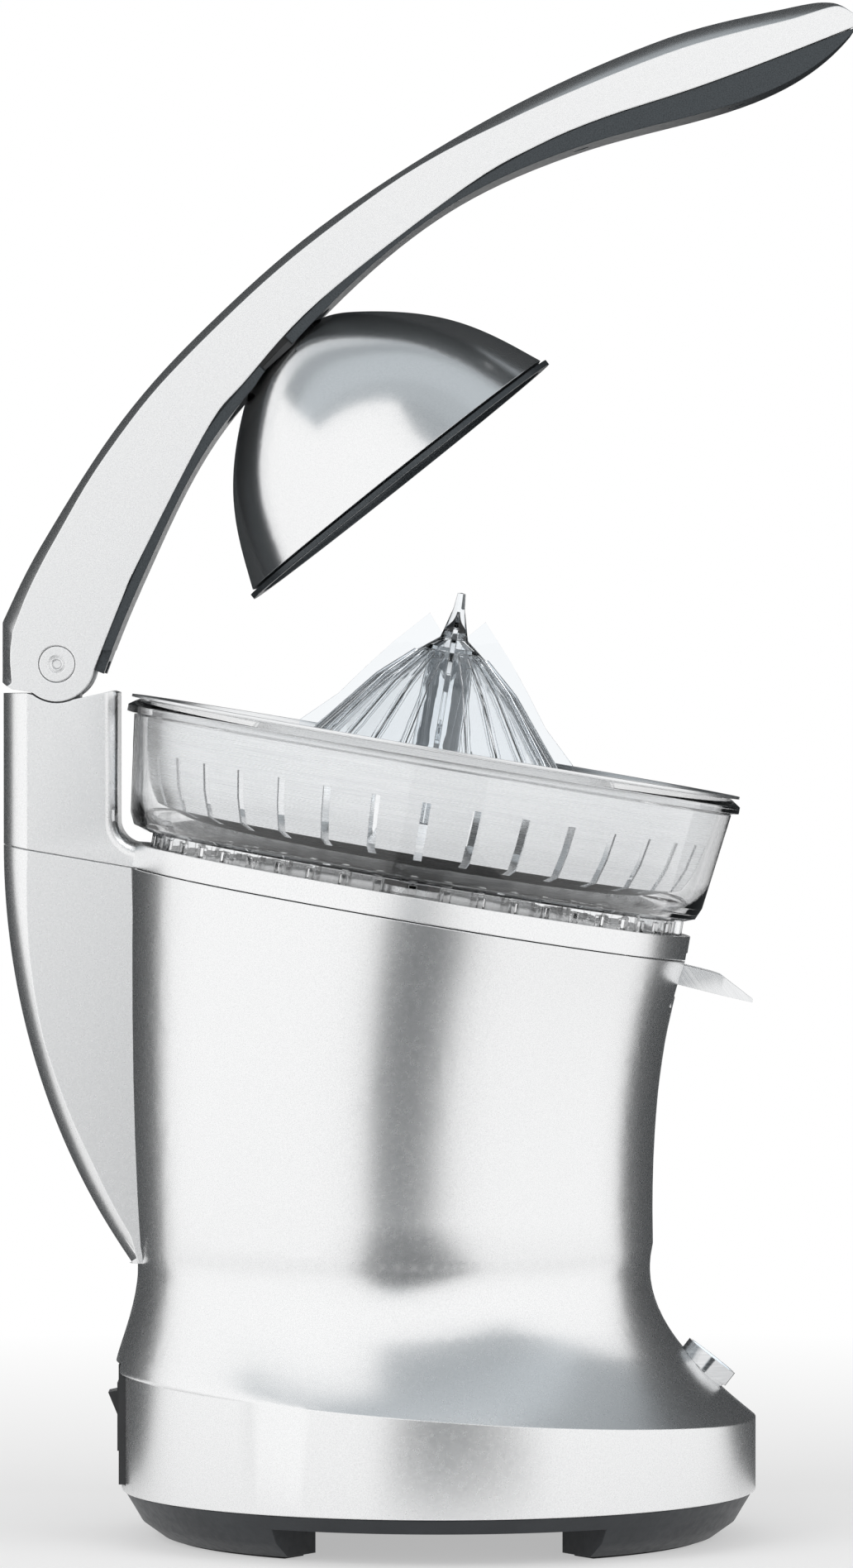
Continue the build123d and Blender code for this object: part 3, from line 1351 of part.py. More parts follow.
with BuildPart() as output_gear:
    spur_gear(output_gear_drop, gear_bottom_drop, output_teeth, inter_angle)
    drum(hub_top_drop, output_gear_drop + 1, hub_bore / 2 + 5.0)
    drum(gear_bottom_drop - 1, hub_end_drop, sleeve_outer - 0.8)
    drum(hub_top_drop, hex_start_drop, spindle_radius + seat_gap, mode=Mode.SUBTRACT)
    hexagon(hex_start_drop, hub_end_drop, hub_bore + 2 * running_gap, mode=Mode.SUBTRACT)
    for angle in range(0, 360, 60):
        drum(output_gear_drop, gear_bottom_drop, 6.0, at=round_bowl(23.5, angle + 30), mode=Mode.SUBTRACT)

output_gear.part.label = "output_gear"
export_step(output_gear.part, "parts/output_gear.step")

with BuildPart() as intermediate_gear:
    spur_gear(
        output_gear_drop + 0.3, inter_gear_drop + 0.5, inter_pinion_teeth,
        inter_angle + 180 + 180 / inter_pinion_teeth, inter_place,
    )
    spur_gear(inter_gear_drop, inter_gear_end, inter_teeth, motor_angle, inter_place)
    drum(output_gear_drop - 2, inter_gear_end + 2, 3.0 + running_gap, at=inter_place, mode=Mode.SUBTRACT)

intermediate_gear.part.label = "intermediate_gear"
export_step(intermediate_gear.part, "parts/intermediate_gear.step")

with BuildPart() as intermediate_shaft:
    drum(case_top_drop + 1.2, case_bottom_drop - 1.2, 3.0, at=inter_place)

intermediate_shaft.part.label = "intermediate_shaft"
export_step(intermediate_shaft.part, "parts/intermediate_shaft.step")

case_top_end = case_top_drop + case_wall
cover_start = case_bottom_drop - case_wall
case_screw_places = [round_bowl(case_post_circle, angle) for angle in case_post_angles]

with BuildPart() as gear_case:
    drum(case_top_drop, cover_start - seat_gap, case_radius)
    drum(case_top_end, cover_start, case_radius - case_wall, mode=Mode.SUBTRACT)
    drum(case_top_end - 0.5, output_gear_drop - 0.3, 6.0, at=inter_place)
    drum(case_top_drop + 1.1, output_gear_drop, 3.0 + running_gap, at=inter_place, mode=Mode.SUBTRACT)
    drum(case_top_drop - 1, case_top_end + 1, hub_bore / 2 + 5.0 + running_gap, mode=Mode.SUBTRACT)
    for place in case_screw_places:
        drum(case_top_drop - 1, case_top_end + 1, screw_radius + 0.1, at=place, mode=Mode.SUBTRACT)

gear_case.part.label = "gear_case"
export_step(gear_case.part, "parts/gear_case.step")

with BuildPart() as case_screws:
    for place in case_screw_places:
        drum(case_top_end + 0.1, case_top_end + 2.2, screw_head_radius, at=place)
        drum(case_top_end - 4.5 - case_wall, case_top_end + 0.5, screw_radius - running_gap, at=place)

case_screws.part.label = "case_screws"
export_step(case_screws.part, "parts/case_screws.step")

finger_angle = inter_angle + 180
switch_place = round_bowl(23.0, finger_angle)
switch_plane = Plane(
    origin=bowl_plane.from_local_coords((switch_place[0], switch_place[1], -cover_start)),
    x_dir=bowl_across * cos(radians(finger_angle)) + Vector(0, 1, 0) * sin(radians(finger_angle)),
    z_dir=lean_forward,
)
finger_plane = Plane(origin=switch_plane.origin, x_dir=switch_plane.x_dir, z_dir=lean_forward)
finger_thickness = 2.0
finger_width = 5.0
plunger_top_drop = carrier_drop + finger_thickness + press_travel / 2 + 0.1
switch_height = cover_start - plunger_top_drop - press_travel / 2 - 0.6
motor_screw_places = [(motor_place[0] - 24.0, motor_place[1]), (motor_place[0], motor_place[1] - 24.0)]

with BuildPart() as gear_case_cover:
    drum(cover_start, case_bottom_drop, case_radius)
    drum(hub_end_drop + 0.3, cover_start + 0.5, sleeve_outer, sleeve_inner)
    drum(inter_gear_end + 0.5, cover_start + 0.5, 6.0, at=inter_place)
    drum(inter_gear_end, case_bottom_drop - 1.1, 3.0 + running_gap, at=inter_place, mode=Mode.SUBTRACT)
    shaft_hole = motor_shaft_radius + 4.6
    drum(cover_start - 1, case_bottom_drop + 1, shaft_hole, at=motor_place, mode=Mode.SUBTRACT)
    for place in motor_screw_places:
        drum(cover_start - 1, case_bottom_drop + 1, screw_radius + 0.1, at=place, mode=Mode.SUBTRACT)
    # slot of the sleeve for the carrier's finger
    with BuildSketch(finger_plane.offset(3.0)):
        with Locations((-12, 0)):
            Rectangle(12, finger_width + 1.2)
    extrude(amount=20, mode=Mode.SUBTRACT)

gear_case_cover.part.label = "gear_case_cover"
export_step(gear_case_cover.part, "parts/gear_case_cover.step")

with BuildPart() as thrust_carrier:
    drum(carrier_drop, carrier_drop + carrier_thickness, carrier_radius, 3.0 + running_gap)
    with BuildSketch(finger_plane.offset(cover_start - carrier_drop - finger_thickness)):
        with Locations((-7.0, 0)):
            Rectangle(18.0, finger_width)
    extrude(amount=finger_thickness)
    drum(carrier_drop - 1, carrier_drop + carrier_thickness + 1, 3.0 + running_gap, mode=Mode.SUBTRACT)

thrust_carrier.part.label = "thrust_carrier"
export_step(thrust_carrier.part, "parts/thrust_carrier.step")

# Return spring of two turns between the carrier and the case's cover
press_spring_start = cover_start - 0.2 - press_wire_radius
press_spring_height = press_spring_start - (carrier_drop + carrier_thickness) - press_wire_radius - 0.2
with BuildPart() as press_spring:
    press_coil = Helix(
        press_spring_height / 2,
        press_spring_height,
        press_coil_radius,
        center=bowl_origin - lean_forward * press_spring_start,
        direction=lean_forward,
        mode=Mode.PRIVATE,
    )
    with BuildSketch(Plane(origin=press_coil @ 0, z_dir=press_coil % 0)):
        Circle(press_wire_radius)
    sweep(path=press_coil, is_frenet=True)

press_spring.part.label = "press_spring"
export_step(press_spring.part, "parts/press_spring.step")

with BuildPart() as start_switch:
    with BuildSketch(switch_plane):
        Rectangle(9.0, 7.0)
    extrude(amount=switch_height)
    with BuildSketch(switch_plane.offset(0.8)):
        Circle(1.2 + running_gap)
    extrude(amount=switch_height, mode=Mode.SUBTRACT)

start_switch.part.label = "start_switch"
export_step(start_switch.part, "parts/start_switch.step")

with BuildPart() as start_switch_plunger:
    with BuildSketch(switch_plane.offset(press_travel / 2 + 1.2)):
        Circle(1.2)
    extrude(amount=cover_start - plunger_top_drop - press_travel / 2 - 1.2)

start_switch_plunger.part.label = "start_switch_plunger"
export_step(start_switch_plunger.part, "parts/start_switch_plunger.step")

# ---------------------------------------------------------------------------- motor
can_wall = 2.4
motor_end = motor_drop + motor_length
stator_start, stator_end = motor_drop + 8.0, motor_end - 8.0
bearing_radius = 8.0
bearing_width = 4.0
bearing_drops = (motor_drop + can_wall + 0.2, motor_end - can_wall - 0.2 - bearing_width)
fan_drop = motor_end + 4.0
fan_blades = 9

with BuildPart() as motor_can:
    drum(motor_drop, motor_end, motor_radius, at=motor_place)
    can_top = motor_drop + can_wall
    can_floor = motor_end - can_wall
    drum(can_top, can_floor, motor_radius - can_wall, at=motor_place, mode=Mode.SUBTRACT)
    ring_outer = bearing_radius + 2
    ring_inner = bearing_radius + running_gap
    drum(can_top - 0.5, can_top + bearing_width, ring_outer, ring_inner, at=motor_place)
    drum(can_floor - bearing_width, can_floor + 0.5, ring_outer, ring_inner, at=motor_place)
    drum(motor_drop - 1, motor_end + 1, motor_shaft_radius + 0.6, at=motor_place, mode=Mode.SUBTRACT)
    for place in motor_screw_places:
        drum(motor_drop - 1, motor_drop + can_wall + 1, screw_radius, at=place, mode=Mode.SUBTRACT)

motor_can.part.label = "motor_can"
export_step(motor_can.part, "parts/motor_can.step")

with BuildPart() as motor_screws:
    for place in motor_screw_places:
        drum(cover_start - 2.2, cover_start - 0.1, screw_head_radius, at=place)
        drum(cover_start - 0.6, motor_drop + 5.0, screw_radius - running_gap, at=place)

motor_screws.part.label = "motor_screws"
export_step(motor_screws.part, "parts/motor_screws.step")

with BuildPart() as motor_windings:
    drum(stator_start, stator_end, motor_radius - can_wall - 0.15, rotor_radius + 0.8, at=motor_place)

motor_windings.part.label = "motor_windings"
export_step(motor_windings.part, "parts/motor_windings.step")

with BuildPart() as motor_bearings:
    bearing_bore = motor_shaft_radius + running_gap
    for drop in bearing_drops:
        drum(drop, drop + bearing_width - 0.4, bearing_radius, bearing_bore, at=motor_place)

motor_bearings.part.label = "motor_bearings"
export_step(motor_bearings.part, "parts/motor_bearings.step")

with BuildPart() as motor_shaft:
    spur_gear(
        inter_gear_drop - 1.0, inter_gear_end + 1.0, motor_pinion_teeth,
        motor_angle + 180 + 180 / motor_pinion_teeth, motor_place,
    )
    drum(inter_gear_end, fan_drop + 10.0, motor_shaft_radius, at=motor_place)

motor_shaft.part.label = "motor_shaft"
export_step(motor_shaft.part, "parts/motor_shaft.step")

with BuildPart() as motor_rotor:
    drum(stator_start + 1, stator_end - 1, rotor_radius, motor_shaft_radius + 0.02, at=motor_place)
    drum(stator_end - 1, bearing_drops[1] - 1.0, 9.0, motor_shaft_radius + 0.02, at=motor_place)

motor_rotor.part.label = "motor_rotor"
export_step(motor_rotor.part, "parts/motor_rotor.step")

with BuildPart() as motor_fan:
    with BuildSketch(bowl_plane.offset(-fan_drop - 9.0)):
        with Locations(motor_place):
            with PolarLocations(16.0, fan_blades):
                Rectangle(24.0, 1.4, rotation=12)
    extrude(amount=8.0)
    drum(fan_drop, fan_drop + 1.6, 29.0, at=motor_place)
    drum(fan_drop, fan_drop + 9.0, 7.0, at=motor_place)
    drum(fan_drop - 1, fan_drop + 11, motor_shaft_radius + 0.02, at=motor_place, mode=Mode.SUBTRACT)

motor_fan.part.label = "motor_fan"
export_step(motor_fan.part, "parts/motor_fan.step")

# ---------------------------------------------------------------------------- spout
spout_top = spout_floor + spout_height
with BuildPart() as spout:
    with BuildSketch(spout_plane):
        with BuildLine():
            Polyline(
                (-spout_tail, spout_floor),
                (spout_reach, spout_floor),
                (spout_reach, spout_floor + 1.2),
                (spout_reach - 13.5, spout_top - 0.3),
                (spout_reach - 17.0, spout_top),
                (-spout_tail, spout_top),
                close=True,
            )
        make_face()
    extrude(amount=spout_width / 2, both=True)
    # the front narrows to a lip
    spout_level = Plane(origin=spout_plane.origin, x_dir=spout_plane.x_dir, z_dir=spout_plane.y_dir)
    with BuildSketch(spout_level):
        for side in (-1, 1):
            with BuildLine():
                Polyline(
                    (spout_reach - 12.0, side * (spout_width / 2 + 1)),
                    (spout_reach - 12.0, side * spout_width / 2),
                    (spout_reach + 1.0, side * spout_lip / 2),
                    (spout_reach + 1.0, side * (spout_width / 2 + 1)),
                    close=True,
                )
            make_face()
    extrude(amount=20, mode=Mode.SUBTRACT)
    with BuildSketch(spout_level.offset(spout_floor + spout_sheet)):
        with BuildLine():
            channel_half = spout_width / 2 - spout_sheet
            lip_half = spout_lip / 2 - spout_sheet
            Polyline(
                (-spout_tail + spout_sheet, -channel_half),
                (spout_reach - 12.0, -channel_half),
                (spout_reach + 2.0, -lip_half),
                (spout_reach + 2.0, lip_half),
                (spout_reach - 12.0, channel_half),
                (-spout_tail + spout_sheet, channel_half),
                close=True,
            )
        make_face()
    extrude(amount=20, mode=Mode.SUBTRACT)
    # lug for the pivot pin, below the floor
    with BuildSketch(spout_plane):
        Circle(spout_lug_radius)
        with Locations((0, spout_floor / 2)):
            Rectangle(2 * spout_lug_radius, spout_floor + 0.2)
        Circle(spout_pin_radius + running_gap, mode=Mode.SUBTRACT)
    extrude(amount=spout_width / 2, both=True)

spout.part.label = "spout"
export_step(spout.part, "parts/spout.step")

with BuildPart() as spout_pin:
    with BuildSketch(spout_plane):
        Circle(spout_pin_radius)
    extrude(amount=ear_end + 0.4, both=True)

spout_pin.part.label = "spout_pin"
export_step(spout_pin.part, "parts/spout_pin.step")

# ---------------------------------------------------------------------------- controls
button_seat_depth = 14.0
light_ring_outer = button_radius + 1.2

with BuildPart() as power_button_bezel:
    with BuildSketch(button_plane.offset(bezel_seat + 0.05)):
        Circle(bezel_radius)
    extrude(amount=bezel_height - bezel_seat - 0.05)
    with BuildSketch(button_plane.offset(-button_seat_depth)):
        Circle(bezel_barrel)
    extrude(amount=button_seat_depth)
    with BuildSketch(button_plane.offset(-button_seat_depth + 1.5)):
        Circle(button_radius + 0.1)
    extrude(amount=30, mode=Mode.SUBTRACT)
    with BuildSketch(button_plane.offset(bezel_height - 0.8)):
        Circle(light_ring_outer + 0.1)
    extrude(amount=5, mode=Mode.SUBTRACT)

power_button_bezel.part.label = "power_button_bezel"
export_step(power_button_bezel.part, "parts/power_button_bezel.step")

with BuildPart() as button_light_ring:
    with BuildSketch(button_plane.offset(bezel_height - 0.75)):
        Circle(light_ring_outer)
        Circle(button_radius + 0.15, mode=Mode.SUBTRACT)
    extrude(amount=0.6)

button_light_ring.part.label = "button_light_ring"
export_step(button_light_ring.part, "parts/button_light_ring.step")

with BuildPart() as power_button:
    with BuildSketch(button_plane.offset(-4.0)):
        Circle(button_radius)
    extrude(amount=bezel_height - 0.9 + 4.0)

power_button.part.label = "power_button"
export_step(power_button.part, "parts/power_button.step")

with BuildPart() as button_switch:
    with BuildSketch(button_plane.offset(-button_seat_depth + 1.6)):
        Rectangle(10.0, 10.0)
    extrude(amount=4.5)
    with BuildSketch(button_plane.offset(-button_seat_depth + 5.0)):
        Circle(1.8)
    extrude(amount=button_seat_depth - 5.0 - 4.0 - button_travel - 0.2)

button_switch.part.label = "button_switch"
export_step(button_switch.part, "parts/button_switch.step")

rocker_pivot_x = panel_x + 1.2
rocker_half = rocker_height / 2 - 0.3
rocker_well = rocker_half + 0.9
rocker_body_half = rocker_well + 1.2
rocker_well_width = rocker_width + 0.8
rocker_body_width = rocker_well_width + 2.4

with BuildPart() as rear_panel:
    with BuildSketch(Plane.YZ.offset(panel_x)):
        with Locations((0, panel_middle)):
            Rectangle(panel_width, panel_top - panel_bottom)
    extrude(amount=panel_depth)
    with BuildSketch(Plane.YZ.offset(panel_x + panel_thickness)):
        with Locations((0, panel_middle)):
            Rectangle(panel_width - 2 * panel_rim, panel_top - panel_bottom - 2 * panel_rim)
    extrude(amount=panel_depth, mode=Mode.SUBTRACT)
    with BuildSketch(Plane.YZ.offset(panel_x - 1)):
        with Locations((0, rocker_z)):
            Rectangle(rocker_body_width + 2 * seat_gap, 2 * (rocker_body_half + seat_gap))
        with Locations((0, cord_z)):
            Circle(cord_bush_radius + 0.1)
    extrude(amount=10, mode=Mode.SUBTRACT)

rear_panel.part.label = "rear_panel"
export_step(rear_panel.part, "parts/rear_panel.step")

with BuildPart() as rocker_housing:
    with BuildSketch(Plane.YZ.offset(panel_x - 1.0)):
        with Locations((0, rocker_z)):
            Rectangle(rocker_body_width + 1.6, 2 * rocker_body_half + 1.6)
    extrude(amount=0.9)
    with BuildSketch(Plane.YZ.offset(panel_x - 0.5)):
        with Locations((0, rocker_z)):
            Rectangle(rocker_body_width, 2 * rocker_body_half)
    extrude(amount=rocker_depth)
    with BuildSketch(Plane.YZ.offset(panel_x - 2)):
        with Locations((0, rocker_z)):
            Rectangle(rocker_well_width, 2 * rocker_well)
    extrude(amount=rocker_depth + 0.3, mode=Mode.SUBTRACT)
    with BuildSketch(Plane.XZ):
        with Locations((rocker_pivot_x, rocker_z)):
            Circle(1.2 + running_gap)
    extrude(amount=rocker_body_width, both=True, mode=Mode.SUBTRACT)

rocker_housing.part.label = "rocker_housing"
export_step(rocker_housing.part, "parts/rocker_housing.step")

with BuildPart() as rocker_button:
    rocker_plane = Plane(
        origin=(rocker_pivot_x, 0, rocker_z),
        x_dir=(-cos(radians(rocker_swing)), 0, sin(radians(-rocker_swing))),
        z_dir=(0, 1, 0),
    )
    with BuildSketch(rocker_plane):
        with BuildLine():
            Polyline(
                (3.7, rocker_half), (1.9, 0), (3.7, -rocker_half), (-3.0, -rocker_half),
                (-5.0, -5.0), (-5.0, 5.0), (-3.0, rocker_half), close=True,
            )
        make_face()
    extrude(amount=rocker_width / 2, both=True)
    with BuildSketch(Plane.XZ):
        with Locations((rocker_pivot_x, rocker_z)):
            Circle(1.2)
    extrude(amount=rocker_body_width / 2 - 0.2, both=True)

rocker_button.part.label = "rocker_button"
export_step(rocker_button.part, "parts/rocker_button.step")

with BuildPart() as cord_bush:
    with BuildSketch(Plane.YZ.offset(panel_x - 0.4)):
        with Locations((0, cord_z)):
            Circle(cord_bush_radius)
            Circle(cord_radius, mode=Mode.SUBTRACT)
    extrude(amount=8.0)

cord_bush.part.label = "cord_bush"
export_step(cord_bush.part, "parts/cord_bush.step")

board_x = sum(x for x, y in board_posts) / len(board_posts)
with BuildPart() as control_board:
    with BuildSketch(Plane.XY.offset(board_z)):
        with Locations((board_x, 0)):
            Rectangle(board_length, board_width)
    extrude(amount=1.6)

control_board.part.label = "control_board"
export_step(control_board.part, "parts/control_board.step")

with BuildPart() as board_parts:
    with BuildSketch(Plane.XY.offset(board_z + 1.7)):
        with Locations((board_x - 18, -14)):
            Rectangle(22, 18)
        with Locations((board_x + 18, 14)):
            Rectangle(16, 12)
    extrude(amount=14.0)
    with BuildSketch(Plane.XY.offset(board_z + 1.7)):
        with Locations((board_x - 20, 18), (board_x - 6, 18), (board_x + 20, -16)):
            Circle(5.0)
    extrude(amount=18.0)

board_parts.part.label = "board_parts"
export_step(board_parts.part, "parts/board_parts.step")
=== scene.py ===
import math

import bmesh
import bpy
from mathutils import Matrix, Vector


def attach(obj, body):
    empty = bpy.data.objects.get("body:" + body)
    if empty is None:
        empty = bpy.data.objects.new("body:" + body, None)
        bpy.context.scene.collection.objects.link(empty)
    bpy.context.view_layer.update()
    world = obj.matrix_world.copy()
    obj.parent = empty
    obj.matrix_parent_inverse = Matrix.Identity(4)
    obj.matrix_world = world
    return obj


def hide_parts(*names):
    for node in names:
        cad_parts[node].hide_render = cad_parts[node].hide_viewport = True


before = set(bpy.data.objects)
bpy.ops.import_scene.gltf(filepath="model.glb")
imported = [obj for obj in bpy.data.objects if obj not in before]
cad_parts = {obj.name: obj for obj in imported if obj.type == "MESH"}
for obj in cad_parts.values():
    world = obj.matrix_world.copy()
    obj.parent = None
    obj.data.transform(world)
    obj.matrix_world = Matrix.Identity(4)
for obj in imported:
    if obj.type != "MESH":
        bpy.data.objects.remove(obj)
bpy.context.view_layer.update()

# ---------------------------------------------------------------- sizes, in metres and degrees
BOWL_RIM = Vector((0.0018, 0.0, 0.290))     # centre of the bowl's rim
BOWL_TILT = 9.65                            # lean of the bowl's axis, forward
HINGE = Vector((-0.1369, 0.0, 0.3212))
HALF_WIDTH = 0.022                          # of the column and the arm
HALF_WIDTH_MM = 22.0


# ---------------------------------------------------------------- node helpers
class Finish:
    """A material under construction: its nodes are added one by one and linked by name."""

    def __init__(self, name, colour, metallic=0.0, roughness=0.5):
        self.material = bpy.data.materials.new(name)
        self.material.use_nodes = True
        self.tree = self.material.node_tree
        self.shader = self.tree.nodes["Principled BSDF"]
        self.shader.inputs["Base Color"].default_value = (*colour, 1)
        self.shader.inputs["Metallic"].default_value = metallic
        self.shader.inputs["Roughness"].default_value = roughness
        self.where = self.node("ShaderNodeTexCoord").outputs["Object"]

    def node(self, kind, **settings):
        made = self.tree.nodes.new(kind)
        for key, value in settings.items():
            setattr(made, key, value)
        return made

    def join(self, output, target):
        self.tree.links.new(output, target)

    def mapped(self, turn, scale):
        mapping = self.node("ShaderNodeMapping")
        mapping.inputs["Rotation"].default_value = [math.radians(a) for a in turn]
        mapping.inputs["Scale"].default_value = scale
        self.join(self.where, mapping.inputs["Vector"])
        return mapping.outputs["Vector"]

    def turned(self, scale):
        """Place on a piece turned about the bowl's axis: lines run round it on wall and floor."""
        own = self.node("ShaderNodeMapping", vector_type="TEXTURE")
        own.inputs["Location"].default_value = BOWL_RIM
        own.inputs["Rotation"].default_value = (0, math.radians(BOWL_TILT), 0)
        self.join(self.where, own.inputs["Vector"])
        parts = self.node("ShaderNodeSeparateXYZ")
        self.join(own.outputs["Vector"], parts.inputs["Vector"])
        flat = self.node("ShaderNodeCombineXYZ")
        self.join(parts.outputs["X"], flat.inputs["X"])
        self.join(parts.outputs["Y"], flat.inputs["Y"])
        away = self.node("ShaderNodeVectorMath", operation="LENGTH")
        self.join(flat.outputs["Vector"], away.inputs[0])
        rise = self.node("ShaderNodeMath", operation="ADD")
        self.join(away.outputs["Value"], rise.inputs[0])
        self.join(parts.outputs["Z"], rise.inputs[1])
        whole = self.node("ShaderNodeCombineXYZ")
        self.join(parts.outputs["X"], whole.inputs["X"])
        self.join(parts.outputs["Y"], whole.inputs["Y"])
        self.join(rise.outputs[0], whole.inputs["Z"])
        sized = self.node("ShaderNodeVectorMath", operation="MULTIPLY")
        sized.inputs[1].default_value = scale
        self.join(whole.outputs["Vector"], sized.inputs[0])
        return sized.outputs["Vector"]

    def noise(self, scale, detail=2.0, where=None):
        noise = self.node("ShaderNodeTexNoise")
        noise.inputs["Scale"].default_value = scale
        noise.inputs["Detail"].default_value = detail
        self.join(where or self.where, noise.inputs["Vector"])
        return noise.outputs["Fac"]

    def ranged(self, value, low, high, start=0.3, end=0.7):
        made = self.node("ShaderNodeMapRange")
        made.inputs["From Min"].default_value = start
        made.inputs["From Max"].default_value = end
        made.inputs["To Min"].default_value = low
        made.inputs["To Max"].default_value = high
        self.join(value, made.inputs["Value"])
        return made.outputs["Result"]

    def colours(self, value, first, second, start=0.35, end=0.65):
        ramp = self.node("ShaderNodeValToRGB")
        ramp.color_ramp.elements[0].position = start
        ramp.color_ramp.elements[0].color = (*first, 1)
        ramp.color_ramp.elements[1].position = end
        ramp.color_ramp.elements[1].color = (*second, 1)
        self.join(value, ramp.inputs["Fac"])
        self.join(ramp.outputs["Color"], self.shader.inputs["Base Color"])

    def rough(self, value, low, high):
        self.join(self.ranged(value, low, high), self.shader.inputs["Roughness"])

    def bump(self, value, strength, distance, soft_edge=0.0):
        bump = self.node("ShaderNodeBump")
        bump.inputs["Strength"].default_value = strength
        bump.inputs["Distance"].default_value = distance
        self.join(value, bump.inputs["Height"])
        if soft_edge:
            edge = self.node("ShaderNodeBevel", samples=6)
            edge.inputs["Radius"].default_value = soft_edge
            self.join(edge.outputs["Normal"], bump.inputs["Normal"])
        self.join(bump.outputs["Normal"], self.shader.inputs["Normal"])

    def set(self, **inputs):
        for name, value in inputs.items():
            self.shader.inputs[name.replace("_", " ")].default_value = value


def metallic_paint(name, dark, light, metallic, low, high, edge=0.0006):
    """Sprayed paint with fine metal flakes under a thin lacquer."""
    paint = Finish(name, light, metallic, low)
    flakes = paint.noise(2600, 2)
    paint.colours(flakes, dark, light, 0.3, 0.6)
    paint.rough(paint.noise(500, 3), low, high)
    paint.bump(paint.noise(3000, 2), 0.035, 0.00006, edge)
    paint.set(Coat_Weight=0.15, Coat_Roughness=0.12)
    return paint.material


def moulded(name, dark, light, low, high, grain=900, depth=0.25, edge=0.0004, coat=0.0):
    """Moulded plastic or rubber with a fine grain and slight cloudiness."""
    plastic = Finish(name, light, 0.0, low)
    plastic.colours(plastic.noise(45, 5), dark, light, 0.3, 0.7)
    plastic.rough(plastic.noise(380, 4), low, high)
    plastic.bump(plastic.noise(grain, 3), depth, 0.00015, edge)
    plastic.set(Coat_Weight=coat, Coat_Roughness=0.15)
    return plastic.material


def brushed(
    name, dark, light, low, high, turn=(0, 0, 0), scale=(25, 25, 2600), depth=0.3, turned=False
):
    """Sheet or turned metal with fine parallel brush lines."""
    metal = Finish(name, light, 1.0, low)
    where = metal.turned(scale) if turned else metal.mapped(turn, scale)
    lines = metal.noise(1.0, 4, where)
    metal.colours(lines, dark, light, 0.3, 0.7)
    metal.rough(lines, low, high)
    metal.bump(lines, depth, 0.00006, 0.0002)
    metal.set(Anisotropic=0.4)
    return metal.material


def clear(name, colour, low, high, edge=0.0, wave=40):
    """Clear moulded plastic with faint flow marks."""
    plastic = Finish(name, colour, 0.0, low)
    marks = plastic.noise(wave, 3)
    plastic.rough(marks, low, high)
    plastic.bump(marks, 0.02, 0.0004, edge)
    plastic.set(Transmission_Weight=1.0, IOR=1.47)
    return plastic.material


def lit(name, colour, strength):
    """Clear moulding with a faint glow of its own."""
    ring = Finish(name, colour, 0.0, 0.25)
    ring.rough(ring.noise(300, 3), 0.2, 0.32)
    ring.bump(ring.noise(700, 2), 0.1, 0.0001)
    ring.set(Emission_Color=(*colour, 1), Emission_Strength=strength)
    return ring.material


silver = metallic_paint(
    "silver_metallic_paint", (0.86, 0.865, 0.87), (0.96, 0.963, 0.966), 0.95, 0.25, 0.28
)
silver_bright = metallic_paint(
    "polished_dome_metal", (0.86, 0.865, 0.87), (0.94, 0.943, 0.946), 0.97, 0.17, 0.2
)
slate = metallic_paint(
    "slate_grip_paint", (0.028, 0.034, 0.038), (0.062, 0.072, 0.08), 0.55, 0.3, 0.4
)
dark_base = moulded(
    "slate_base_plastic", (0.02, 0.023, 0.027), (0.03, 0.034, 0.039), 0.38, 0.5, edge=0.0006
)
black = moulded(
    "black_moulded_plastic", (0.010, 0.011, 0.012), (0.022, 0.023, 0.025), 0.34, 0.48, coat=0.2
)
rubber = moulded(
    "black_foot_rubber", (0.012, 0.012, 0.013), (0.03, 0.03, 0.031), 0.7, 0.85, 600, 0.5
)
case_plastic = moulded("grey_case_plastic", (0.12, 0.125, 0.13), (0.17, 0.175, 0.18), 0.45, 0.6)
gear_plastic = moulded("natural_gear_plastic", (0.66, 0.64, 0.57), (0.78, 0.76, 0.69), 0.35, 0.5)
basket_steel = brushed(
    "brushed_basket_steel", (0.8, 0.81, 0.82), (0.96, 0.965, 0.97), 0.22, 0.32,
    depth=0.12, turned=True,
)
steel = brushed(
    "brushed_steel", (0.5, 0.51, 0.52), (0.72, 0.73, 0.74), 0.25, 0.4, scale=(1800, 60, 60)
)
chrome = brushed(
    "polished_steel", (0.7, 0.71, 0.72), (0.82, 0.83, 0.84), 0.08, 0.15,
    scale=(60, 60, 1400), depth=0.08,
)
cast = metallic_paint("cast_metal", (0.3, 0.31, 0.32), (0.42, 0.43, 0.44), 0.85, 0.4, 0.55)
spring_steel = brushed(
    "oiled_spring_steel", (0.16, 0.165, 0.17), (0.3, 0.31, 0.32), 0.25, 0.4,
    scale=(900, 900, 900),
)
smoke = clear("smoke_clear_plastic", (0.96, 0.965, 0.97), 0.0, 0.02, 0.0005)
cone_clear = clear("cone_clear_plastic", (0.93, 0.955, 0.975), 0.0, 0.02, 0.0003)
glow = lit("light_guide", (0.85, 0.93, 1.0), 0.4)
copper = brushed(
    "enamelled_copper", (0.42, 0.14, 0.045), (0.68, 0.29, 0.12), 0.25, 0.4,
    (0, -BOWL_TILT, 0), (40, 40, 1900),
)
board = moulded("board_green", (0.01, 0.05, 0.02), (0.02, 0.1, 0.045), 0.3, 0.45, 1400)


# ---------------------------------------------------------------- mesh helpers
def piece_from(mesh, name, body, material, nodes=(), crease=30):
    """A finished piece from a mesh that is already in its place."""
    mesh.materials.clear()
    mesh.materials.append(material)
    mesh.polygons.foreach_set("use_smooth", [True] * len(mesh.polygons))
    mesh.set_sharp_from_angle(angle=math.radians(crease))
    piece = bpy.data.objects.new(name, mesh)
    bpy.context.scene.collection.objects.link(piece)
    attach(piece, body)
    if nodes:
        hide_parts(*nodes)
    return piece


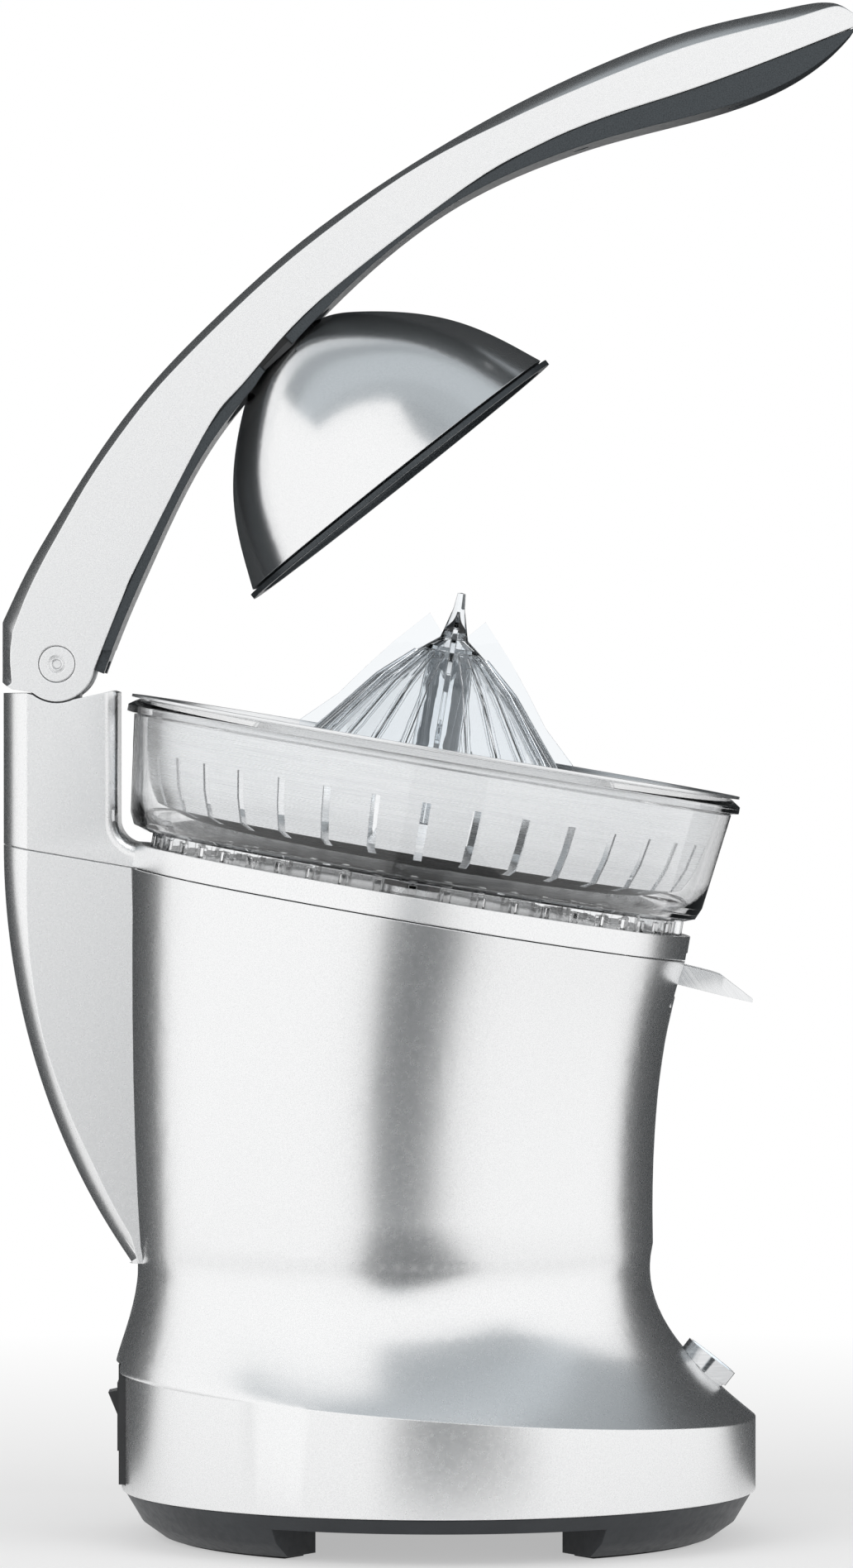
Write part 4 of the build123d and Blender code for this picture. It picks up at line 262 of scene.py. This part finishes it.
def merged(node):
    """A node's shape with its loose triangles joined."""
    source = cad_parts[node].data
    mesh = bpy.data.meshes.new(node + "_skin")
    points = [v.co[:] for v in source.vertices]
    mesh.from_pydata(points, [], [p.vertices[:] for p in source.polygons])
    shape = bmesh.new()
    shape.from_mesh(mesh)
    bmesh.ops.remove_doubles(shape, verts=shape.verts, dist=2e-6)
    bmesh.ops.dissolve_degenerate(shape, edges=shape.edges, dist=1e-7)
    shape.to_mesh(mesh)
    shape.free()
    return mesh


def smoothed(node, name, body, material, crease=30):
    """A node's own shape, its curved faces shaded smoothly and its edges kept crisp."""
    return piece_from(merged(node), name, body, material, (node,), crease)


def lathe(profile, place, steps=64):
    """Closed ring of a closed profile of (radius, height), turned about the frame's Z."""
    mesh = bpy.data.meshes.new("turned")
    shape = bmesh.new()
    rows = []
    for radius, height in profile:
        if radius < 1e-6:
            rows.append([shape.verts.new((0, 0, height))])
        else:
            rows.append([
                shape.verts.new((radius * math.cos(a), radius * math.sin(a), height))
                for a in (2 * math.pi * i / steps for i in range(steps))
            ])
    for first, second in zip(rows, rows[1:] + rows[:1]):
        if len(first) == 1 and len(second) == 1:
            continue
        for i in range(steps):
            j = (i + 1) % steps
            corners = []
            for row, order in ((first, (i, j)), (second, (j, i))):
                corners += [row[0]] if len(row) == 1 else [row[k] for k in order]
            shape.faces.new(corners)
    bmesh.ops.remove_doubles(shape, verts=shape.verts, dist=1e-7)
    bmesh.ops.recalc_face_normals(shape, faces=shape.faces)
    bmesh.ops.transform(shape, matrix=place, verts=shape.verts)
    shape.to_mesh(mesh)
    shape.free()
    return mesh


def joined(*meshes):
    """One mesh from several."""
    shape = bmesh.new()
    for mesh in meshes:
        shape.from_mesh(mesh)
    whole = bpy.data.meshes.new("joined")
    shape.to_mesh(whole)
    shape.free()
    return whole


def spline_point(points, place):
    """Point at a fractional index on a smooth line through points."""
    i = min(int(place), len(points) - 2)
    t = place - i
    near = [points[max(0, min(len(points) - 1, i + k))] for k in (-1, 0, 1, 2)]
    a, b, c, d = (Vector(p) for p in near)
    square = (2 * a - 5 * b + 4 * c - d) * t * t
    cube = (3 * b - a - 3 * c + d) * t ** 3
    return 0.5 * (2 * b + (c - a) * t + square + cube)


def between(table, place):
    """Value at a place in a table of (place, value), straight between its rows."""
    for (x_0, y_0), (x_1, y_1) in zip(table, table[1:]):
        if place <= x_1:
            return y_0 + (y_1 - y_0) * (place - x_0) / (x_1 - x_0)
    return table[-1][1]


def cut(mesh, tools):
    """Mesh with solids taken away, made by a boolean modifier on a stand-in object."""
    body = bpy.data.objects.new("body", mesh)
    bpy.context.scene.collection.objects.link(body)
    helpers = []
    for tool in tools:
        helper = bpy.data.objects.new("helper", tool)
        bpy.context.scene.collection.objects.link(helper)
        modifier = body.modifiers.new("cut", "BOOLEAN")
        modifier.object = helper
        modifier.solver = "EXACT"
        helpers.append(helper)
    bpy.context.view_layer.update()
    ready = body.evaluated_get(bpy.context.evaluated_depsgraph_get())
    result = bpy.data.meshes.new_from_object(ready)
    for helper in [body] + helpers:
        bpy.data.objects.remove(helper)
    return result


# ---------------------------------------------------------------- lever arm
# Outer line and lower edge of the arm from the hinge, in millimetres, from the heel to the tip
ARM_BACK = [
    (-20.9, -6.5), (-20.9, 15.5), (-6.7, 43.6), (22.9, 89.4), (56.1, 126.0), (100.0, 163.8),
    (161.0, 202.2), (222.0, 229.7), (267.8, 241.3), (284.0, 243.2), (292.2, 238.6),
]
ARM_EDGE = [
    (13.53, -2.15), (23.8, 23.8), (29.9, 37.5), (55.1, 86.1), (68.7, 103.2), (96.0, 132.8),
    (148.8, 173.9), (176.3, 189.8), (200.3, 199.9), (231.5, 210.0), (259.0, 220.1), (292.2, 233.2),
]
ARM_HEEL = [(-16.4, -9.2), (-9.0, -10.33)]
BOSS_RADIUS = 13.7
BOSS_TURN = (-131.06, -9.03)          # degrees of the boss's arc below the hinge
# Stations: a place on the outer line, and the place on the lower edge opposite it
STATIONS = [
    (0, 0), (0.4, 1), (0.75, 2), (1, 3.2), (1.5, 4), (2, 4.9), (3, 6.7), (4, 8.15), (5, 9.4),
    (6, 11), (7, 13.2), (8, 14.4), (9, 14.9), (10, 15),
]
# How far the crowned back of the arm reaches down each side, along the outer line
CROWN_REACH = [
    (0, 6.0), (1, 6.0), (2, 4.4), (3, 3.6), (5, 3.6), (6, 5.4), (7, 7.0), (8, 5.6), (9, 3.0),
    (10, 0.8),
]
CROWN_START = math.radians(45)        # its ellipse starts here at the side, which leaves a crease
ARM_WALL = 3.5
ARM_STEPS = 110


def arm_back_at(place):
    """Point on the arm's outer line, with a straight heel first."""
    if place <= 1:
        return Vector(ARM_BACK[0]).lerp(Vector(ARM_BACK[1]), place)
    return spline_point(ARM_BACK[1:], place - 1)


def arm_edge_at(place):
    """Point on the arm's lower edge: its heel, the arc round the hinge, then the long edge."""
    if place <= 1:
        return Vector(ARM_HEEL[0]).lerp(Vector(ARM_HEEL[1]), place)
    if place <= 4:
        turn = math.radians(BOSS_TURN[0] + (BOSS_TURN[1] - BOSS_TURN[0]) * (place - 1) / 3)
        return Vector((BOSS_RADIUS * math.cos(turn), BOSS_RADIUS * math.sin(turn)))
    return spline_point(ARM_EDGE, place - 4)


def crown(length, reach, steps=12):
    """Bowed back between its two creases at the sides, as (distance up, distance across)."""
    low = math.sin(CROWN_START)
    points = []
    for i in range(2 * steps + 1):
        a = CROWN_START + (math.pi - 2 * CROWN_START) * i / (2 * steps)
        rise = length - reach + reach * (math.sin(a) - low) / (1 - low)
        points.append((rise, HALF_WIDTH_MM * math.cos(a) / math.cos(CROWN_START)))
    return points


def arm_section(length, reach):
    """A station's closed outline, as (distance up from the edge, distance from the middle)."""
    half = HALF_WIDTH_MM
    inside = half - ARM_WALL
    foot = max(length - reach - 0.8, 0.1)
    ceiling = max(length - reach - 3.2, 0.2)
    outer = [(0.0, half), (foot, half)] + crown(length, reach) + [(foot, -half), (0.0, -half)]
    inner = [(0.0, inside), (ceiling - 0.1, inside), (ceiling, inside - 1.5)]
    return outer + [(v, -y) for v, y in inner] + list(reversed(inner))


def skinned(shape, rows):
    """Closed mesh over rows of points, with both ends closed."""
    count = len(rows[0])
    for first, second in zip(rows, rows[1:]):
        for i in range(count):
            j = (i + 1) % count
            shape.faces.new((first[i], first[j], second[j], second[i]))
    shape.faces.new(list(reversed(rows[0])))
    shape.faces.new(rows[-1])
    bmesh.ops.recalc_face_normals(shape, faces=shape.faces)
    mesh = bpy.data.meshes.new("skin")
    shape.to_mesh(mesh)
    shape.free()
    return mesh


def arm_skin():
    """Arm shell, open below, with a crowned back whose creases part towards the grip."""
    shape = bmesh.new()
    rows = []
    for step in range(ARM_STEPS + 1):
        place = (len(STATIONS) - 1) * step / ARM_STEPS
        i = min(int(place), len(STATIONS) - 2)
        t = place - i
        back_place = STATIONS[i][0] + (STATIONS[i + 1][0] - STATIONS[i][0]) * t
        edge_place = STATIONS[i][1] + (STATIONS[i + 1][1] - STATIONS[i][1]) * t
        back, edge = arm_back_at(back_place), arm_edge_at(edge_place)
        length = (back - edge).length
        up = (back - edge) / length
        row = []
        for v, y in arm_section(length, min(between(CROWN_REACH, back_place), 0.6 * length)):
            spot = edge + up * v
            row.append(shape.verts.new(HINGE + Vector((spot.x, y, spot.y)) / 1000))
        rows.append(row)
    return skinned(shape, rows)


# The hinge's axis on each side, and the cap's sunk seat and outline as (radius, height) in metres
ON_SIDE = [
    Matrix.Translation(HINGE) @ Matrix.Rotation(math.radians(turn), 4, "X") for turn in (90, -90)
]
CAP_SOCKET = [(0, 0.01992), (0.0068, 0.01992), (0.0068, 0.024), (0, 0.024)]
CAP_LINE = [
    (0, 0.0202), (0.00155, 0.0202), (0.0017, 0.0204), (0.0017, 0.0217), (0.0020, 0.0220),
    (0.0024, 0.0220), (0.0026, 0.0215), (0.0030, 0.0215), (0.00315, 0.0220), (0.00635, 0.0220),
    (0.0066, 0.0217), (0.0066, 0.0200), (0, 0.0200),
]
sockets = [lathe(CAP_SOCKET, side) for side in ON_SIDE]
piece_from(cut(arm_skin(), sockets), "arm", "lever_arm", silver, ("arm_shell",), 24)
caps = joined(*[lathe(CAP_LINE, side) for side in ON_SIDE])
piece_from(caps, "arm_caps", "lever_arm", silver, ("hinge_caps",), 24)

# ---------------------------------------------------------------- housing and the other pieces
def parted(mesh, keeps):
    """The faces of a mesh for which a test of their middle and direction holds, as a new mesh."""
    shape = bmesh.new()
    shape.from_mesh(mesh)
    others = [f for f in shape.faces if not keeps(f.calc_center_median(), f.normal)]
    bmesh.ops.delete(shape, geom=others, context="FACES")
    part = bpy.data.meshes.new("part")
    shape.to_mesh(part)
    shape.free()
    return part


# Where the plain fin's faces lie on the lower housing, in metres
FIN_INSIDE = 0.019                    # half the width of its hollow
FIN_SIDE_START = -0.085               # x that its sides lie behind
FIN_BACK_START = -0.1092              # x behind which only the fin is left
FIN_SIDE_LOW = 0.099
FIN_BACK_LOW = 0.0995


def on_fin(middle, normal):
    """Whether a face belongs to the hollow, flat-sided fin behind the round body."""
    out = abs(middle.y)
    on_side = min(abs(out - HALF_WIDTH), abs(out - FIN_INSIDE)) < 0.0005
    beside = abs(normal.y) > 0.98 and on_side and middle.x < FIN_SIDE_START
    behind = out < HALF_WIDTH + 0.0001 and middle.x < FIN_BACK_START and middle.z > FIN_BACK_LOW
    return (beside and middle.z > FIN_SIDE_LOW) or behind


# The fin and the column's back, in millimetres
COLUMN_REAR = -157.5
SEAM_REAR = 254.7                     # height of the seam at the column's rear
FIN_SWEEP = 274.0                     # radius of the fin's rear line
FIN_END = 101.6
# Rows of height, and x just inside the body's wall
FIN_ROOT = [(100, -104.6), (152, -107.0), (256, -109.6)]
# Rows of height, and how far the crown reaches down each side
FIN_CROWN = [(100, 3.0), (112, 7.5), (139, 8.2), (185, 6.5), (215, 7.6), (256, 9.8)]
FIN_STEPS = 60
COLUMN_CUT = -147.7                   # the column's back is made anew behind this
COLUMN_TOP = 310.6
COLUMN_STEPS = 12
SEAM_GAP = 0.4


def seam_height(x, gap=0.0):
    """Height of the seam between the two housings, which leans with the bowl."""
    return SEAM_REAR - (x - COLUMN_REAR) * math.tan(math.radians(BOWL_TILT)) + gap


def fin_skin():
    """Fin below the column: flat sides and a crowned back that sweeps into the body."""
    shape = bmesh.new()
    rows = []
    for step in range(FIN_STEPS + 1):
        share = step / FIN_STEPS
        level = FIN_END + (SEAM_REAR - FIN_END) * share
        rear = COLUMN_REAR + FIN_SWEEP - math.sqrt(FIN_SWEEP ** 2 - (SEAM_REAR - level) ** 2)
        root = between(FIN_ROOT, level)
        depth = root - rear
        reach = min(between(FIN_CROWN, level), 0.9 * depth)
        row = []
        for v, y in [(0.0, HALF_WIDTH_MM)] + crown(depth, reach) + [(0.0, -HALF_WIDTH_MM)]:
            x = root - v
            z = FIN_END + (seam_height(x) - FIN_END) * share
            row.append(shape.verts.new(Vector((x, y, z)) / 1000))
        rows.append(row)
    return skinned(shape, rows)


def column_back():
    """Crowned back of the column, from the seam to its top."""
    shape = bmesh.new()
    rows = []
    depth = COLUMN_CUT - COLUMN_REAR
    line = [(0.0, HALF_WIDTH_MM)] + crown(depth, depth - 0.05) + [(0.0, -HALF_WIDTH_MM)]
    for step in range(COLUMN_STEPS + 1):
        share = step / COLUMN_STEPS
        row = []
        for v, y in line:
            x = COLUMN_CUT - v
            low = seam_height(x, SEAM_GAP)
            row.append(shape.verts.new(Vector((x, y, low + (COLUMN_TOP - low) * share)) / 1000))
        rows.append(row)
    return skinned(shape, rows)


def trimmed(mesh, place, normal):
    """A mesh without what lies beyond a plane."""
    shape = bmesh.new()
    shape.from_mesh(mesh)
    everything = shape.verts[:] + shape.edges[:] + shape.faces[:]
    bmesh.ops.bisect_plane(
        shape, geom=everything, plane_co=place, plane_no=normal, clear_outer=True
    )
    part = bpy.data.meshes.new("part")
    shape.to_mesh(part)
    shape.free()
    return part


def chamfered(mesh, places):
    """A closed mesh with what lies beyond each plane taken off and the openings closed."""
    shape = bmesh.new()
    shape.from_mesh(mesh)
    for place, normal in places:
        everything = shape.verts[:] + shape.edges[:] + shape.faces[:]
        bmesh.ops.bisect_plane(
            shape, geom=everything, plane_co=place, plane_no=normal, clear_outer=True
        )
        rims = [edge for edge in shape.edges if edge.is_boundary]
        bmesh.ops.holes_fill(shape, edges=rims, sides=0)
    bmesh.ops.recalc_face_normals(shape, faces=shape.faces)
    part = bpy.data.meshes.new("part")
    shape.to_mesh(part)
    shape.free()
    return part


body_skin = parted(merged("lower_housing"), lambda middle, normal: not on_fin(middle, normal))
piece_from(body_skin, "housing_body", "frame", silver, ("lower_housing",), 22)
fin = piece_from(fin_skin(), "housing_fin", "frame", silver, ("lower_housing",), 22)
fin.visible_glossy = False            # so that the body beside it stays free of its mirror image
collar_skin = trimmed(merged("upper_housing"), (COLUMN_CUT / 1000, 0, 0), (-1, 0, 0))
collar = joined(collar_skin, column_back())
piece_from(collar, "housing_collar", "frame", silver, ("upper_housing",), 22)
# Planes that take off the bracket's two rear corners, clear of the crowned back
BRACKET_REAR = -0.1542
CORNER_START = 0.0085                 # y where the cut leaves the rear face
CORNER_SLANT = 1.25
corners = [
    (Vector((BRACKET_REAR, side * CORNER_START, 0.3)), Vector((-1, side * CORNER_SLANT, 0)))
    for side in (-1, 1)
]
bracket = chamfered(merged("hinge_bracket"), corners)
piece_from(bracket, "bracket", "frame", cast, ("hinge_bracket",))
smoothed("base_plate", "base", "frame", dark_base)
smoothed("foot_pads", "feet", "frame", rubber)
smoothed("rear_panel", "panel", "frame", black)
smoothed("rocker_housing", "rocker_frame", "frame", black)
smoothed("rocker_button", "rocker", "rocker", black)
smoothed("cord_bush", "inlet_bush", "frame", rubber)
smoothed("power_button_bezel", "button_bezel", "frame", chrome)
smoothed("button_light_ring", "button_ring", "frame", glow)
smoothed("power_button", "button_face", "button", silver)
smoothed("arm_rear_cover", "arm_cover", "lever_arm", slate)
smoothed("grip_cover", "grip", "lever_arm", slate, 24)
smoothed("grip_screws", "grip_fixings", "lever_arm", chrome)
smoothed("dome_mount", "mount", "lever_arm", black)
smoothed("dome_shell", "press_dome", "dome", silver_bright)
smoothed("dome_liner", "press_dome_liner", "dome", slate)
smoothed("juice_bowl", "clear_bowl", "bowl", smoke)
smoothed("strainer_basket", "basket", "basket", basket_steel)
smoothed("juicing_cone", "cone", "cone", cone_clear)
smoothed("spout", "spout_chute", "spout", basket_steel)

# Finishes of the pieces that keep the CAD's own shape
CARRIED = {
    "base_screws": steel, "housing_screws": steel, "bracket_screws": steel,
    "hinge_pin": steel, "arm_springs": spring_steel, "dome_pivot_pin": steel, "dome_hub": black,
    "hub_screw": steel, "spout_pin": steel, "spindle_bush": copper, "spindle_seal": rubber,
    "drive_spindle": steel, "output_gear": gear_plastic, "intermediate_gear": gear_plastic,
    "intermediate_shaft": steel, "gear_case": case_plastic, "gear_case_cover": case_plastic,
    "case_screws": steel, "thrust_carrier": gear_plastic, "press_spring": spring_steel,
    "start_switch": black, "start_switch_plunger": gear_plastic, "motor_can": steel,
    "motor_screws": steel, "motor_windings": copper, "motor_bearings": copper,
    "motor_shaft": steel, "motor_rotor": steel, "motor_fan": black, "button_switch": black,
    "control_board": board, "board_parts": case_plastic,
}
for node, finish in CARRIED.items():
    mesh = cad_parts[node].data
    mesh.materials.clear()
    mesh.materials.append(finish)

# ---------------------------------------------------------------- stage, light and camera
def stage_mesh(name, verts, faces, material):
    """A mesh of the studio, which is no part of the object."""
    mesh = bpy.data.meshes.new(name)
    mesh.from_pydata(verts, [], faces)
    mesh.materials.append(material)
    mesh.polygons.foreach_set("use_smooth", [True] * len(mesh.polygons))
    made = bpy.data.objects.new(name, mesh)
    bpy.context.scene.collection.objects.link(made)
    return made


def plain_rays(tree):
    """1 for camera, glossy and transmission rays, which all see the white backdrop, else 0."""
    path = tree.nodes.new("ShaderNodeLightPath")
    total = path.outputs["Is Camera Ray"]
    for kind in ("Is Glossy Ray", "Is Transmission Ray"):
        add = tree.nodes.new("ShaderNodeMath")
        add.operation = "ADD"
        add.use_clamp = True
        tree.links.new(total, add.inputs[0])
        tree.links.new(path.outputs[kind], add.inputs[1])
        total = add.outputs[0]
    return total


def pale_floor():
    """Matte floor that keeps the object's shadow and brightens to the backdrop's white."""
    pale = Finish("pale_floor", (0.9, 0.9, 0.9), 0.0, 0.8)
    away = pale.node("ShaderNodeVectorMath", operation="LENGTH")
    pale.join(pale.where, away.inputs[0])
    spread = pale.ranged(away.outputs["Value"], 0.45, 1.0, 0.12, 0.9)
    share = pale.node("ShaderNodeMath", operation="MULTIPLY", use_clamp=True)
    pale.join(plain_rays(pale.tree), share.inputs[0])
    pale.join(spread, share.inputs[1])
    white = pale.node("ShaderNodeEmission")
    mix = pale.node("ShaderNodeMixShader")
    pale.join(share.outputs[0], mix.inputs[0])
    pale.join(pale.shader.outputs[0], mix.inputs[1])
    pale.join(white.outputs[0], mix.inputs[2])
    pale.join(mix.outputs[0], pale.tree.nodes["Material Output"].inputs["Surface"])
    half = 20
    corners = [(-half, -half, 0), (half, -half, 0), (half, half, 0), (-half, half, 0)]
    stage_mesh("floor", corners, [(0, 1, 2, 3)], pale.material)


pale_floor()


def card(name, verts, faces, level):
    """A dim studio card that only shows in polished surfaces."""
    dim = bpy.data.materials.new(name)
    dim.use_nodes = True
    tree = dim.node_tree
    tree.nodes.remove(tree.nodes["Principled BSDF"])
    light = tree.nodes.new("ShaderNodeEmission")
    light.inputs["Color"].default_value = (0.88, 0.95, 1.0, 1)
    light.inputs["Strength"].default_value = level
    tree.links.new(light.outputs[0], tree.nodes["Material Output"].inputs["Surface"])
    made = stage_mesh(name, verts, faces, dim)
    made.visible_camera = False
    made.visible_diffuse = False
    made.visible_transmission = False
    made.visible_shadow = False
    made.visible_volume_scatter = False
    return made


def ring_card(name, inner, outer, level, radius=2.6, steps=48, rings=6):
    """Part of a sphere round the object, between two angles from straight behind it."""
    verts, faces = [], []
    for ring in range(rings + 1):
        away = math.radians(inner + (outer - inner) * ring / rings)
        for i in range(steps + 1):
            a = math.pi * i / steps
            verts.append((
                radius * math.sin(away) * math.cos(a),
                radius * math.cos(away),
                0.01 + radius * math.sin(away) * math.sin(a),
            ))
    for ring in range(rings):
        for i in range(steps):
            first = ring * (steps + 1) + i
            faces.append((first, first + 1, first + steps + 2, first + steps + 1))
    return card(name, verts, faces, level)


ring_card("dark_ring", 9, 60, 0.04)
edge_ring = ring_card("edge_ring", 14, 55, 0.11, radius=2.7)
edge_ring.visible_transmission = True
edge_ring.visible_glossy = False

FOUR = [(0, 1, 2, 3)]
gap_card = [(-0.24, -3.3, 0.0), (0.36, -3.3, 0.0), (0.36, -3.3, 0.34), (-0.24, -3.3, 0.34)]
card("gap_card", gap_card, FOUR, 0.48)

FLOOR_CARD = 0.002                    # height of the cards on the floor
gap_floor = [(-0.4, -3.2), (0.6, -3.2), (0.2, -0.3), (-0.1, -0.3)]
card("gap_floor", [(x, y, FLOOR_CARD) for x, y in gap_floor], FOUR, 0.1)
back_floor = [(-0.3, 0.15), (0.3, 0.15), (2.6, 1.3), (2.6, 2.6), (-2.6, 2.6), (-2.6, 1.3)]
card("back_floor", [(x, y, FLOOR_CARD) for x, y in back_floor], [(0, 1, 2, 3, 4, 5)], 0.05)

CEILING = 2.4                         # height of the cards overhead
# Name, left and right, front and rear, and level
for name, left, right, front, rear, level in (
    ("ceiling", -3, 3, 0.3, 2.5, 0.38),
    ("ceiling_middle", -3, 3, -0.5, 0.3, 0.58),
    ("ceiling_front", -3, 3, -1.0, -0.5, 0.5),
    ("ceiling_edge", -0.35, 3, -2.5, -1.0, 0.42),
):
    around = [(left, front), (right, front), (right, rear), (left, rear)]
    card(name, [(x, y, CEILING) for x, y in around], FOUR, level)

world = bpy.data.worlds.new("studio")
bpy.context.scene.world = world
world.use_nodes = True
sky = world.node_tree
strength = sky.nodes.new("ShaderNodeMapRange")
strength.inputs["To Min"].default_value = 0.55
strength.inputs["To Max"].default_value = 1.0
sky.links.new(plain_rays(sky), strength.inputs["Value"])
background = sky.nodes["Background"]
background.inputs["Color"].default_value = (1, 1, 1, 1)
sky.links.new(strength.outputs["Result"], background.inputs["Strength"])


LIT_CENTRE = Vector((0, 0, 0.25))     # the point both lamps face


def softbox(name, place, size, power):
    """A square lamp that faces the object and shows in no mirror image."""
    lamp = bpy.data.lights.new(name, "AREA")
    lamp.shape = "SQUARE"
    lamp.size = size
    lamp.energy = power
    made = bpy.data.objects.new(name, lamp)
    made.location = place
    made.rotation_euler = (LIT_CENTRE - Vector(place)).to_track_quat("-Z", "Y").to_euler()
    made.visible_glossy = False
    bpy.context.scene.collection.objects.link(made)


softbox("key_light", (-1.9, -2.0, 1.7), 1.8, 30)
softbox("fill_light", (2.1, -1.8, 1.3), 1.8, 22)

CAMERA_PLACE = (-0.0015, -2.93, 0.319)
CAMERA_AIM = Vector((-0.0015, 0, 0.277))
camera_data = bpy.data.cameras.new("camera")
camera_data.sensor_fit = "VERTICAL"
camera_data.sensor_height = 36
camera_data.lens = 182.4
camera_data.clip_end = 50
camera = bpy.data.objects.new("camera", camera_data)
camera.location = CAMERA_PLACE
aim = CAMERA_AIM - camera.location
camera.rotation_euler = aim.to_track_quat("-Z", "Y").to_euler()
bpy.context.scene.collection.objects.link(camera)
bpy.context.scene.camera = camera
bpy.context.scene.view_settings.view_transform = "Standard"
